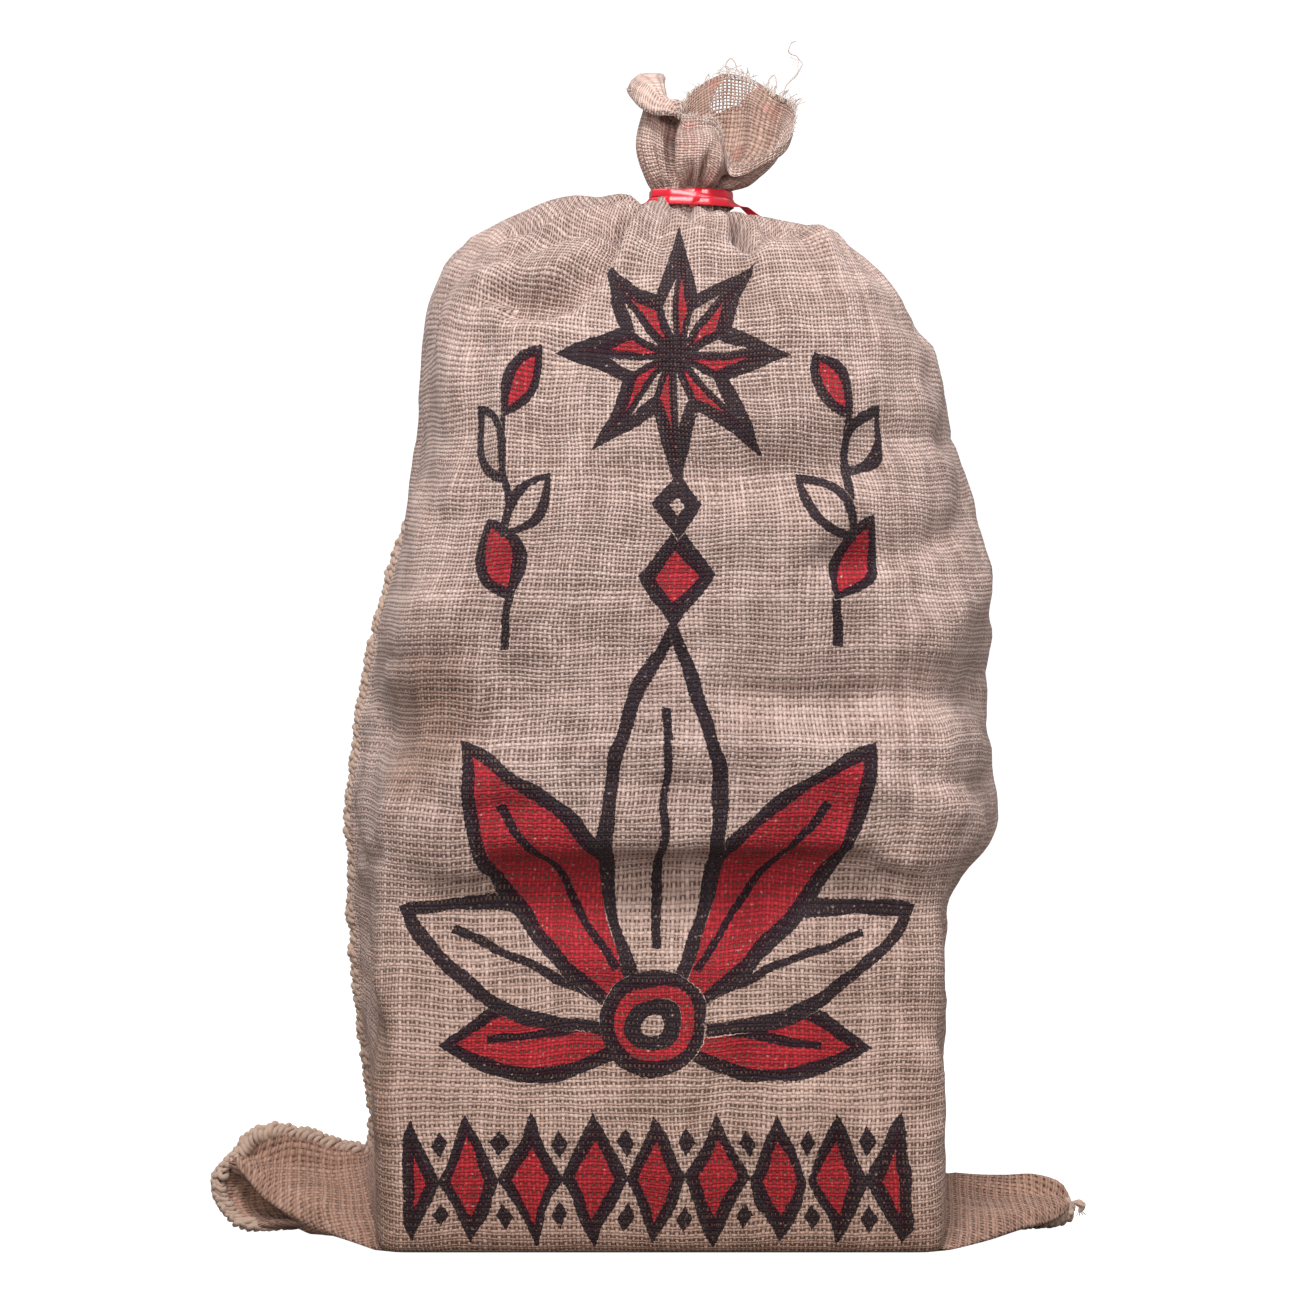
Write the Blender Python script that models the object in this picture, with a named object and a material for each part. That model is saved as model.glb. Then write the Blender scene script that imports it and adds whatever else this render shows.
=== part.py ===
"""A filled jute sack that stands on its box-shaped contents and is tied shut with a ribbon.

Metres, +Z up. The front faces -Y, the sewn edge is on the left (-X), and the origin is the middle
of the bounding box, on the floor. Places on the cloth are given as `across`, which runs round the
flat cloth from the sewn edge, over the front, past the folded edge and back over the rear, and
`up`, which runs from the bottom seam to the mouth.
"""

import math

import bmesh
import bpy
import numpy as np

# The flat cloth
ROUND = 1.20  # once round the sack
HALF = ROUND / 2  # from the sewn edge to the folded edge
TALL = 1.00  # bottom seam to mouth
EAR = 0.103  # each bottom corner is folded out along a line this far in, both ways
CORNER = 0.109  # from a side edge of the cloth to the nearest corner of the body
SHOULDER_UP = 0.655  # the cloth leaves the walls here and turns in over the top
NECK_UP = 0.884  # it reaches the gathered neck here
RUFF_UP = 0.904  # it leaves the tie here and opens again
WALL = 0.0025  # thickness of the open ruff
CREST = 0.90  # the share of the ruff's cloth below its crest, where its lip begins
LIP_DROP = 0.75  # how far the ruff's lip turns down, for each unit it reaches out

SEAM_STAND = 0.0055  # how far the thick overedge seam stands out of the sewn edge
SEAM_STARTS = 0.03  # it reaches that this far from the tip of the ear
SEAM_FADE = 0.1  # and is drawn in over this much cloth past the shoulder
FOLDS_FADE = 0.02  # folds die away over this much cloth at the neck and at the ears

# The gathered neck
NECK_X = 0.0285
NECK_REACH = 0.0288
NECK_LOW = 0.699
NECK_HIGH = 0.7165
PLEATS = 23
PLEAT_DEPTH = 0.0022
PLEATS_ABOVE = 0.030  # the pleats die away over this much cloth above the tie
PLEATS_BELOW = 0.055  # and over this much below it
PLEAT_DRIFT = 0.8  # how unevenly they are spaced

# Mesh steps
SIDE_STEPS = 8  # from a side edge to a body corner
FACE_STEPS = 25  # across the front or the rear
SHOULDER_STEPS = 80  # fine steps along a shoulder, to measure its length by
TAIL_STEPS = 9  # along a free end of the ribbon
STRAND_STEPS = 4  # along a loose yarn, between two of its own points

# The ribbon
RIBBON_WIDE = 0.0085
RIBBON_THICK = 0.0008
RIBBON_HIGH = 0.7108  # the middle of its first turn
RIBBON_DROP = 0.0018  # each turn lies this much lower than the one before
TURN_GAP = 0.00045  # left between one turn and the next
TURNS = 2.36
LEAVES_AT = 205  # the direction in which the first tail leaves the neck
TURN_STEPS = 30

# The loose yarns at the mouth, and the twine's tail at the right ear
YARN_THICK = 0.0012
LOOP_BULGE = 0.3  # how far a loop's sides bulge, as a share of the gap between its ends
TWINE_THICK = 0.0036

GAP = 0.0003  # left between pieces that touch
MERGE = 0.00001


def table(columns, *rows):
    """Give each named column of a short table as an array."""
    return dict(zip(columns.split(), np.array(rows, float).T, strict=True))


# The sewn edge, from the tip of the left ear, along the ear's ridge and up the left side.
SEWN_EDGE = table(
    "up x y z",
    (0.000, -0.287, -0.018, 0.053),
    (0.010, -0.280, -0.012, 0.062),
    (0.030, -0.262, 0.000, 0.0665),
    (0.060, -0.238, 0.005, 0.063),
    (0.085, -0.215, 0.008, 0.055),
    (0.105, -0.200, 0.010, 0.0535),
    (0.125, -0.191, 0.012, 0.060),
    (0.165, -0.189, 0.010, 0.090),
    (0.215, -0.196, 0.004, 0.130),
    (0.265, -0.202, 0.000, 0.170),
    (0.355, -0.206, 0.000, 0.248),
    (0.425, -0.203, 0.000, 0.316),
    (0.500, -0.197, 0.000, 0.391),
    (0.548, -0.184, 0.000, 0.437),
    (0.595, -0.171, 0.000, 0.484),
    (0.640, -0.160, 0.000, 0.529),
    (0.660, -0.1585, 0.000, 0.549),
)

# The folded edge, from the tip of the right ear up the right side.
FOLDED_EDGE = table(
    "up x y z",
    (0.000, 0.2905, -0.008, 0.021),
    (0.014, 0.285, -0.003, 0.032),
    (0.034, 0.268, 0.000, 0.0385),
    (0.060, 0.245, 0.002, 0.038),
    (0.085, 0.222, 0.003, 0.0385),
    (0.104, 0.206, 0.003, 0.041),
    (0.125, 0.201, 0.003, 0.052),
    (0.165, 0.202, 0.002, 0.080),
    (0.225, 0.2035, 0.000, 0.128),
    (0.300, 0.2045, 0.000, 0.193),
    (0.338, 0.2065, 0.000, 0.231),
    (0.356, 0.218, 0.000, 0.248),
    (0.378, 0.237, 0.000, 0.267),
    (0.405, 0.2445, 0.000, 0.294),
    (0.435, 0.2415, 0.000, 0.324),
    (0.465, 0.2375, 0.000, 0.353),
    (0.510, 0.2395, 0.000, 0.399),
    (0.560, 0.237, 0.000, 0.449),
    (0.600, 0.234, 0.000, 0.489),
    (0.640, 0.2215, 0.000, 0.529),
    (0.660, 0.2125, 0.000, 0.549),
)

# The bottom seam at each ear, from its tip to where it lies on the floor under the body.
LEFT_SEAM = table(
    "across x y z",
    (0.000, -0.287, -0.018, 0.053),
    (0.012, -0.296, -0.020, 0.045),
    (0.028, -0.2995, -0.020, 0.034),
    (0.046, -0.294, -0.022, 0.019),
    (0.064, -0.281, -0.025, 0.008),
    (0.078, -0.267, -0.026, 0.005),
    (0.110, -0.238, -0.018, 0.0065),
    (0.150, -0.190, 0.000, 0.000),
)
RIGHT_SEAM = table(
    "across x y z",
    (0.000, 0.2905, -0.008, 0.021),
    (0.012, 0.291, -0.012, 0.013),
    (0.026, 0.283, -0.014, 0.007),
    (0.050, 0.260, -0.014, 0.005),
    (0.110, 0.200, -0.004, 0.000),
    (0.150, 0.160, 0.000, 0.000),
)

# The folded front and rear edges of each ear, from its tip to the body's bottom corner.
LEFT_EAR_FRONT = table(
    "up x y z",
    (0.000, -0.287, -0.018, 0.053),
    (0.010, -0.278, -0.030, 0.044),
    (0.030, -0.263, -0.037, 0.028),
    (0.045, -0.250, -0.040, 0.019),
    (0.060, -0.232, -0.048, 0.0125),
    (0.080, -0.207, -0.076, 0.006),
    (0.103, -0.178, -0.102, 0.000),
)
LEFT_EAR_REAR = table(
    "up x y z",
    (0.000, -0.287, -0.018, 0.053),
    (0.015, -0.283, 0.004, 0.037),
    (0.035, -0.266, 0.024, 0.018),
    (0.060, -0.238, 0.050, 0.007),
    (0.080, -0.210, 0.075, 0.002),
    (0.103, -0.178, 0.102, 0.000),
)
RIGHT_EAR_FRONT = table(
    "up x y z",
    (0.000, 0.2905, -0.008, 0.021),
    (0.012, 0.284, -0.022, 0.015),
    (0.030, 0.270, -0.036, 0.010),
    (0.050, 0.253, -0.050, 0.0085),
    (0.075, 0.226, -0.080, 0.005),
    (0.103, 0.194, -0.102, 0.000),
)
RIGHT_EAR_REAR = table(
    "up x y z",
    (0.000, 0.2905, -0.008, 0.021),
    (0.015, 0.286, 0.014, 0.013),
    (0.040, 0.266, 0.038, 0.006),
    (0.070, 0.234, 0.070, 0.002),
    (0.103, 0.194, 0.102, 0.000),
)

# Level sections of the body: where its corners stand, how far the front and the rear stand out
# between them, and how softly the corners are turned, in mesh steps.
BODY = table(
    "up z left right front rear front_crown rear_crown softness",
    (0.103, 0.0000, -0.178, 0.194, -0.102, 0.102, 0.000, 0.000, 0.5),
    (0.109, 0.0022, -0.180, 0.195, -0.1055, 0.1055, 0.001, 0.001, 0.6),
    (0.117, 0.0085, -0.181, 0.196, -0.107, 0.107, 0.002, 0.003, 0.8),
    (0.140, 0.0310, -0.182, 0.197, -0.107, 0.108, 0.003, 0.006, 0.9),
    (0.200, 0.0910, -0.184, 0.197, -0.107, 0.108, 0.004, 0.010, 0.9),
    (0.300, 0.1910, -0.181, 0.198, -0.105, 0.108, 0.004, 0.012, 0.9),
    (0.345, 0.2360, -0.181, 0.200, -0.103, 0.110, 0.004, 0.013, 1.0),
    (0.378, 0.2680, -0.181, 0.206, -0.112, 0.114, 0.012, 0.014, 1.2),
    (0.430, 0.3200, -0.178, 0.209, -0.116, 0.118, 0.016, 0.015, 1.5),
    (0.500, 0.3900, -0.173, 0.208, -0.117, 0.122, 0.018, 0.017, 1.8),
    (0.560, 0.4500, -0.161, 0.203, -0.119, 0.124, 0.021, 0.020, 2.2),
    (0.620, 0.5100, -0.150, 0.194, -0.119, 0.124, 0.023, 0.021, 2.6),
    (0.660, 0.5500, -0.145, 0.186, -0.116, 0.122, 0.023, 0.021, 3.0),
)

# How squarely each side of the top turns in to the neck: 2 is a round shoulder, 3 a square one.
TOP = table(
    "angle square",
    (0, 1.95),
    (60, 2.40),
    (120, 2.80),
    (180, 4.00),
    (225, 3.20),
    (270, 3.10),
    (315, 2.60),
    (360, 1.95),
)

# The ruff, by direction from the middle of the neck: how far out it bellies, its throat and its
# top, how high the top stands over the tie, and how far its edge is folded out and down again.
RUFF = table(
    "angle belly throat top height lip",
    (0, 0.059, 0.067, 0.072, 0.057, 0.002),
    (22, 0.056, 0.062, 0.066, 0.069, 0.001),
    (42, 0.049, 0.054, 0.057, 0.080, 0.001),
    (60, 0.045, 0.049, 0.050, 0.085, 0.001),
    (76, 0.042, 0.044, 0.045, 0.078, 0.001),
    (98, 0.038, 0.038, 0.038, 0.060, 0.001),
    (120, 0.037, 0.035, 0.035, 0.060, 0.001),
    (145, 0.039, 0.035, 0.032, 0.073, 0.006),
    (168, 0.039, 0.034, 0.028, 0.080, 0.014),
    (190, 0.039, 0.034, 0.027, 0.081, 0.017),
    (210, 0.039, 0.035, 0.029, 0.079, 0.014),
    (230, 0.037, 0.035, 0.033, 0.072, 0.010),
    (247, 0.031, 0.034, 0.037, 0.060, 0.006),
    (262, 0.043, 0.044, 0.043, 0.052, 0.001),
    (280, 0.049, 0.049, 0.044, 0.051, 0.001),
    (296, 0.046, 0.046, 0.043, 0.044, 0.001),
    (311, 0.037, 0.042, 0.045, 0.021, 0.001),
    (327, 0.044, 0.052, 0.056, 0.018, 0.001),
    (343, 0.055, 0.064, 0.068, 0.032, 0.001),
    (360, 0.059, 0.067, 0.072, 0.057, 0.002),
)

# Folds in the body, each along a line between two places on the cloth: how far it is pushed in
# (or out, where negative), and how far its slopes reach above and below that line.
FOLDS = table(
    "across up to_across to_up depth above below",
    # the front, where one parcel ends and the next begins
    (0.200, 0.364, 0.425, 0.367, 0.0110, 0.009, 0.034),
    (0.105, 0.506, 0.180, 0.505, 0.0110, 0.006, 0.055),
    (0.352, 0.480, 0.540, 0.492, 0.0100, 0.016, 0.022),
    (0.330, 0.630, 0.440, 0.630, 0.0075, 0.020, 0.022),
    (0.415, 0.566, 0.520, 0.598, 0.0050, 0.014, 0.016),
    (0.455, 0.425, 0.570, 0.428, 0.0060, 0.009, 0.011),
    # soft ridges over the parcels' edges
    (0.374, 0.452, 0.500, 0.392, -0.0060, 0.026, 0.026),
    (0.120, 0.190, 0.480, 0.187, -0.0018, 0.006, 0.008),
    (0.170, 0.560, 0.165, 0.700, 0.0050, 0.022, 0.022),
    (0.250, 0.450, 0.265, 0.640, -0.0050, 0.040, 0.040),
    # the rear
    (0.740, 0.372, 0.960, 0.366, 0.0090, 0.010, 0.030),
    (0.820, 0.520, 1.070, 0.545, 0.0100, 0.018, 0.024),
    (0.730, 0.600, 0.850, 0.640, 0.0080, 0.020, 0.020),
    (0.900, 0.690, 1.050, 0.640, 0.0070, 0.020, 0.022),
    (0.700, 0.450, 0.820, 0.440, 0.0060, 0.014, 0.018),
)

# Folds that run in to the tie over the top of the sack, in the same columns.
TOP_FOLDS = table(
    "across up to_across to_up depth above below",
    (0.100, 0.800, 0.215, 0.880, 0.0120, 0.016, 0.016),
    (0.060, 0.720, 0.100, 0.800, 0.0070, 0.016, 0.016),
    (0.190, 0.790, 0.250, 0.880, -0.0080, 0.018, 0.018),
    (0.045, 0.835, 0.110, 0.876, -0.0090, 0.026, 0.026),
    (0.400, 0.812, 0.385, 0.884, 0.0170, 0.020, 0.020),
    (0.205, 0.845, 0.225, 0.876, -0.0050, 0.024, 0.024),
    (0.540, 0.730, 0.500, 0.860, 0.0060, 0.018, 0.018),
    (0.640, 0.740, 0.660, 0.880, 0.0080, 0.022, 0.022),
    (0.760, 0.760, 0.750, 0.880, 0.0100, 0.024, 0.024),
    (0.860, 0.720, 0.860, 0.880, 0.0120, 0.022, 0.022),
    (0.960, 0.760, 0.955, 0.880, 0.0090, 0.024, 0.024),
    (1.070, 0.740, 1.060, 0.880, 0.0110, 0.024, 0.024),
)


# The long waves of the filled cloth.
WAVES = table(
    "height times_round per_metre start",
    (0.0012, 3, 9, 1.0),
    (0.0010, 5, -17, 2.2),
    (0.0008, 7, 31, 0.4),
)
WAVES_FADE = 0.07  # they die away over this much cloth at the ears and at the neck

# The ribbon's two free ends lie on the top of the sack: places on the cloth, tie to tip.
LEFT_TAIL = table(
    "across up stand",
    (1.222, 0.874, 0.0075),
    (1.206, 0.865, 0.0055),
    (1.188, 0.852, 0.0040),
    (1.172, 0.836, 0.0032),
    (1.164, 0.818, 0.0028),
)
RIGHT_TAIL = table(
    "across up stand",
    (0.578, 0.874, 0.0055),
    (0.594, 0.865, 0.0048),
    (0.612, 0.852, 0.0040),
    (0.628, 0.836, 0.0032),
    (0.636, 0.818, 0.0028),
)

# Small loops of loose yarn at the mouth: the two places round the mouth where each one starts and
# ends, how far its ends stand over the crest there, and how far the loop's own crown stands to the
# right of them, behind them and above them.
LOOPS = {
    "yarn_loop_left": (0.800, 0.778, 0.0019, 0.000, -0.001, 0.0085),
    "yarn_loop_back": (0.704, 0.688, 0.0020, 0.002, 0.000, 0.0090),
    "yarn_loop_right": (0.618, 0.602, 0.0010, 0.005, -0.001, 0.0045),
}
# The one long curly yarn, in steps to the right, back and up from its root at the mouth.
LONG_YARN_AT = 0.668
LONG_YARN_CLEAR = 0.0017  # how far its root stands over the crest
LONG_YARN = (
    (0, 0, 0),
    (0.003, -0.001, 0.007),
    (0.010, -0.002, 0.014),
    (0.0135, -0.001, 0.021),
    (0.011, 0.001, 0.026),
    (0.006, 0.001, 0.029),
    (0.0045, 0, 0.034),
    (0.0095, -0.001, 0.038),
)
# The twine's tail, in the same steps from its root beside the ear's tip, and how much thicker or
# thinner it is at each step: the second half is the knot.
TWINE_ROOT = (0.0002, -0.002, -0.001)
TWINE_TAIL = ((0, 0, 0), (0.0025, 0, 0.0005), (0.005, 0, 0), (0.0065, 0, -0.003), (0.0045, 0, -0.006))
TWINE_KNOT = (0.8, 1.0, 1.5, 1.3, 0.7)


def curve(rows, column, places):
    """Read a column of a table at any places, on a smooth curve through its rows."""
    key = next(iter(rows))
    knots, values = rows[key], rows[column]
    places = np.clip(places, knots[0], knots[-1])
    slopes = np.gradient(values, knots)
    low = np.clip(np.searchsorted(knots, places, side="right") - 1, 0, len(knots) - 2)
    width = knots[low + 1] - knots[low]
    t = (places - knots[low]) / width
    return (
        values[low] * (1 + 2 * t) * (1 - t) ** 2
        + slopes[low] * width * t * (1 - t) ** 2
        + values[low + 1] * t**2 * (3 - 2 * t)
        + slopes[low + 1] * width * t**2 * (t - 1)
    )


def point(rows, places):
    """Read the x, y and z columns of a table together."""
    return np.stack([curve(rows, axis, places) for axis in "xyz"], axis=-1)


def blend(a, b, share):
    """Go from a to b, row by row of points, as share goes from 0 to 1."""
    share = np.asarray(share, float)[..., None]
    return a * (1 - share) + b * share


def ring_places(up):
    """Space one ring's points round the cloth, closer together where the ears run to a tip."""
    corner = min(up, EAR) * CORNER / EAR
    side = np.linspace(0, corner, SIDE_STEPS, endpoint=False)
    face = np.linspace(corner, HALF - corner, FACE_STEPS, endpoint=False)
    far_side = np.linspace(HALF - corner, HALF, SIDE_STEPS, endpoint=False)
    half = np.concatenate([side, face, far_side])
    return np.concatenate([half, half + HALF])


def body_corners(up):
    """Give the four corners of the body at one height of the cloth: front left and right, rear."""
    z, left, right, front, rear = (
        float(curve(BODY, name, up)) for name in ("z", "left", "right", "front", "rear")
    )
    return (
        np.array([left, front, z]),
        np.array([right, front, z]),
        np.array([left, rear, z]),
        np.array([right, rear, z]),
    )


def ear_half_ring(up, away, left_fold, right_fold, corners):
    """Run from the left ear over the underside to the right ear, at one height below the body.

    Each ear's top goes from its ridge down to its folded edge. The underside then goes from the
    folded edges, or from the body's edge between them, to the bottom seam.
    """
    left_tip, right_tip = point(SEWN_EDGE, up), point(FOLDED_EDGE, up)
    top_share = np.linspace(0, 1, SIDE_STEPS, endpoint=False)
    left_top = blend(left_tip, point(left_fold, up), top_share)
    right_top = blend(point(right_fold, up), right_tip, top_share)
    to_left = away
    to_right = HALF - away
    seam = np.where(
        (to_left < HALF / 2)[:, None], point(LEFT_SEAM, to_left), point(RIGHT_SEAM, to_right)
    )
    flat_from = LEFT_SEAM["across"][-1]
    middle = (to_left > flat_from) & (to_right > flat_from)
    run = np.clip((to_left - flat_from) / (HALF - 2 * flat_from), 0, 1)
    straight = blend(point(LEFT_SEAM, flat_from), point(RIGHT_SEAM, flat_from), run)
    seam = np.where(middle[:, None], straight, seam)
    body_run = np.clip((to_left - CORNER) / (HALF - 2 * CORNER), 0, 1)
    edge = blend(corners[0], corners[1], body_run)
    ear_left = np.minimum(to_left * EAR / CORNER, EAR)
    ear_right = np.minimum(to_right * EAR / CORNER, EAR)
    edge = np.where((to_left < CORNER)[:, None], point(left_fold, ear_left), edge)
    edge = np.where((to_right < CORNER)[:, None], point(right_fold, ear_right), edge)
    reach = np.minimum(np.minimum(ear_left, ear_right), EAR)
    under = blend(seam, edge, np.clip(up / np.maximum(reach, MERGE), 0, 1))
    return np.concatenate([left_top, under, right_top])


def low_ring(up):
    """Make one ring of the ears and the underside, the front half and then the rear half."""
    corner = up * CORNER / EAR
    away = np.linspace(corner, HALF - corner, FACE_STEPS, endpoint=False)
    front_left, front_right, rear_left, rear_right = body_corners(EAR)
    front = ear_half_ring(up, away, LEFT_EAR_FRONT, RIGHT_EAR_FRONT, (front_left, front_right))
    rear = ear_half_ring(up, away, LEFT_EAR_REAR, RIGHT_EAR_REAR, (rear_left, rear_right))
    ridge = point(FOLDED_EDGE, up)[None]
    return np.concatenate([front, ridge, rear[:0:-1]])


def wall_ring(up):
    """Make one ring of the body's walls, with its corners still sharp."""
    front_left, front_right, rear_left, rear_right = body_corners(up)
    left, right = point(SEWN_EDGE, up), point(FOLDED_EDGE, up)
    side = np.linspace(0, 1, SIDE_STEPS, endpoint=False)
    face = np.linspace(0, 1, FACE_STEPS, endpoint=False)
    crown = 1 - (2 * face - 1) ** 2
    front = blend(front_left, front_right, face)
    front[:, 1] -= crown * float(curve(BODY, "front_crown", up))
    rear = blend(rear_right, rear_left, face)
    rear[:, 1] += crown * float(curve(BODY, "rear_crown", up))
    return np.concatenate(
        [
            blend(left, front_left, side),
            front,
            blend(front_right, right, side),
            blend(right, rear_right, side),
            rear,
            blend(rear_left, left, side),
        ]
    )


def soften(ring, steps):
    """Turn a ring's sharp corners softly, over about this many mesh steps each way."""
    count = len(ring)
    away = np.minimum(np.arange(count), count - np.arange(count))
    weight = np.exp(-0.5 * (away / steps) ** 2)
    weight /= weight.sum()
    spread = np.fft.rfft(weight)[:, None]
    return np.fft.irfft(np.fft.rfft(ring, axis=0) * spread, n=count, axis=0)


def directions(across):
    """Give the direction in which each place on the cloth leaves the neck, in degrees."""
    return (180 + 180 * across / HALF) % 360


def on_neck(across, reach, z):
    """Give places round the neck at these reaches and heights."""
    angle = np.radians(directions(across))
    x = NECK_X + reach * np.cos(angle)
    y = reach * np.sin(angle)
    return np.stack(np.broadcast_arrays(x, y, z), axis=-1)


def top_rings(last_wall, ups):
    """Turn the last wall ring in to the neck, each place along its own rounded shoulder."""
    across = ring_places(1)
    neck = on_neck(across, NECK_REACH, NECK_LOW)
    square = curve(TOP, "square", directions(across))
    turn = np.linspace(0, math.pi / 2, SHOULDER_STEPS)[:, None]
    inward = np.clip(np.cos(turn), 0, 1) ** (2 / square)
    upward = np.clip(np.sin(turn), 0, 1) ** (2 / square)
    path = np.empty((len(turn), len(across), 3))
    path[..., :2] = neck[:, :2] + (last_wall - neck)[:, :2] * inward[..., None]
    path[..., 2] = last_wall[:, 2] + (neck - last_wall)[:, 2] * upward
    steps = np.linalg.norm(np.diff(path, axis=0), axis=-1)
    run = np.concatenate([np.zeros((1, len(across))), np.cumsum(steps, axis=0)])
    run /= run[-1]
    share = (np.array(ups) - SHOULDER_UP) / (NECK_UP - SHOULDER_UP)
    rings = np.empty((len(ups), len(across), 3))
    for place in range(len(across)):
        for axis in range(3):
            rings[:, place, axis] = np.interp(share, run[:, place], path[:, place, axis])
    return rings


def ruff_ring(share):
    """Make one ring of the open ruff, from the tie (0) to the cloth's mouth (1)."""
    across = ring_places(1)
    angle = directions(across)
    belly, throat, top, height, lip = (
        curve(RUFF, name, angle) for name in ("belly", "throat", "top", "height", "lip")
    )
    # Each place's profile: out of the tie, over the belly and the throat, and over the lip.
    stops = np.array([0.0, 0.12, 0.38, 0.68, CREST, 1.0])
    zero = np.zeros_like(belly)
    outs = np.array([zero + NECK_REACH, 0.5 * (belly + NECK_REACH), belly, throat, top, top + lip])
    lip_end = height - LIP_DROP * lip
    highs = np.array([zero, 0.10 * height, 0.38 * height, 0.74 * height, height, lip_end])
    profile = {"stop": stops}
    reach, rise = np.empty_like(angle), np.empty_like(angle)
    for place in range(len(across)):
        profile["out"], profile["high"] = outs[:, place], highs[:, place]
        reach[place] = curve(profile, "out", share)
        rise[place] = curve(profile, "high", share)
    return on_neck(across, reach, NECK_HIGH + rise)


def outward(rings):
    """Give each point's direction out of the cloth."""
    round_ring = np.roll(rings, -1, axis=1) - np.roll(rings, 1, axis=1)
    up_cloth = np.gradient(rings, axis=0)
    normal = np.cross(round_ring, up_cloth)
    length = np.linalg.norm(normal, axis=-1, keepdims=True)
    return normal / np.maximum(length, MERGE**2)


def fold_depth(folds, across, up):
    """Add up how far the folds push each place in."""
    total = np.zeros_like(across)
    for a0, u0, a1, u1, depth, above, below in zip(*folds.values(), strict=True):
        run_a, run_u = a1 - a0, u1 - u0
        length = math.hypot(run_a, run_u)
        away_a = (across - a0 + HALF) % ROUND - HALF
        away_u = up - u0
        along = (away_a * run_a + away_u * run_u) / length
        side = (away_u * run_a - away_a * run_u) / length * (1 if run_a >= 0 else -1)
        beyond = np.maximum(0, np.maximum(-along, along - length))
        width = np.where(side > 0, above, below)
        fade = 0.6 * max(above, below)
        total += depth * np.exp(-((side / width) ** 2) - (beyond / fade) ** 2)
    return total


def pleats(across, up):
    """Give the depth of the small pleats at the neck, which die away above and below the tie."""
    above = np.clip((up - RUFF_UP) / PLEATS_ABOVE, 0, 1)
    below = np.clip((NECK_UP - up) / PLEATS_BELOW, 0, 1)
    strength = ((1 - above) * (1 - below)) ** 1.5
    turn = 2 * math.pi * across / ROUND
    return PLEAT_DEPTH * strength * np.cos(PLEATS * turn + PLEAT_DRIFT * np.sin(3 * turn))


def unevenness(across, up):
    """Keep the filled body from looking pressed: a few long waves of a millimetre or two."""
    turn = 2 * math.pi * across / ROUND
    total = np.zeros_like(across)
    for height, times_round, per_metre, start in zip(*WAVES.values(), strict=True):
        total += height * np.sin(times_round * turn + per_metre * up + start)
    from_floor = np.clip((up - EAR) / WAVES_FADE - 0.5, 0, 1)
    return total * from_floor * np.clip((NECK_UP - up) / WAVES_FADE, 0, 1)


def make_rings():
    """Work out the whole cloth as rings of points, from the bottom seam to the mouth."""
    lows = [0, 0.010, 0.022, 0.036, 0.052, 0.070, 0.088]
    walls = [0.103, 0.106, 0.110, 0.116, 0.126, 0.142, 0.164, 0.188, 0.212, 0.240, 0.270, 0.300]
    walls += [0.326, 0.342, 0.354, 0.364, 0.374, 0.388, 0.408, 0.426, 0.446, 0.466, 0.482, 0.498]
    walls += [0.508, 0.522, 0.544, 0.568, 0.592, 0.616, 0.636, SHOULDER_UP]
    tops = [0.676, 0.696, 0.716, 0.736, 0.756, 0.776, 0.796, 0.814, 0.832, 0.850, 0.867, NECK_UP]
    shares = [0.0, 0.12, 0.26, 0.40, 0.54, 0.68, 0.80, 0.88, 0.94, 1.0]
    low_rings = [low_ring(up) for up in lows]
    wall_rings = [soften(wall_ring(up), float(curve(BODY, "softness", up))) for up in walls]
    ruff_rings = [ruff_ring(share) for share in shares]
    rings = np.array([*low_rings, *wall_rings, *top_rings(wall_rings[-1], tops), *ruff_rings])
    ups = np.array([*lows, *walls, *tops, *(RUFF_UP + np.array(shares) * (TALL - RUFF_UP))])
    across = np.array([ring_places(up) for up in ups])
    heights = np.broadcast_to(ups[:, None], across.shape)
    push = -fold_depth(FOLDS, across, heights) - fold_depth(TOP_FOLDS, across, heights)
    push *= np.clip(np.minimum(NECK_UP - heights, heights - EAR) / FOLDS_FADE, 0, 1)
    push += pleats(across, heights) + unevenness(across, heights)
    from_tip = np.clip(ups / SEAM_STARTS, 0, 1)
    push[:, 0] += SEAM_STAND * from_tip * np.clip((SHOULDER_UP - ups) / SEAM_FADE + 1, 0, 1)
    rings = rings + outward(rings) * push[..., None]
    rings[..., 2] = np.maximum(rings[..., 2], 0)
    return {"rings": rings, "across": across, "ups": ups, "ruff_rings": len(shares)}


def on_cloth(cloth, across, up, stand=0.0):
    """Find the point that stands this far out from a place on the cloth, and the way out there."""
    ups = cloth["ups"]
    low = int(np.clip(np.searchsorted(ups, up, side="right") - 1, 0, len(ups) - 2))
    share = (up - ups[low]) / (ups[low + 1] - ups[low])
    found = []
    for grid in (cloth["rings"], outward(cloth["rings"])):
        pair = []
        for row in (low, low + 1):
            knots = np.append(cloth["across"][row], ROUND)
            values = np.concatenate([grid[row], grid[row, :1]])
            pair.append([np.interp(across % ROUND, knots, values[:, axis]) for axis in range(3)])
        found.append(np.array(pair[0]) * (1 - share) + np.array(pair[1]) * share)
    way_out = found[1] / np.linalg.norm(found[1])
    return found[0] + way_out * stand, way_out


def add_loop(mesh, points):
    """Put a ring of points into the mesh as a closed loop of edges."""
    verts = [mesh.verts.new(co) for co in points]
    return [mesh.edges.new((a, b)) for a, b in zip(verts, verts[1:] + verts[:1], strict=True)]


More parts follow.
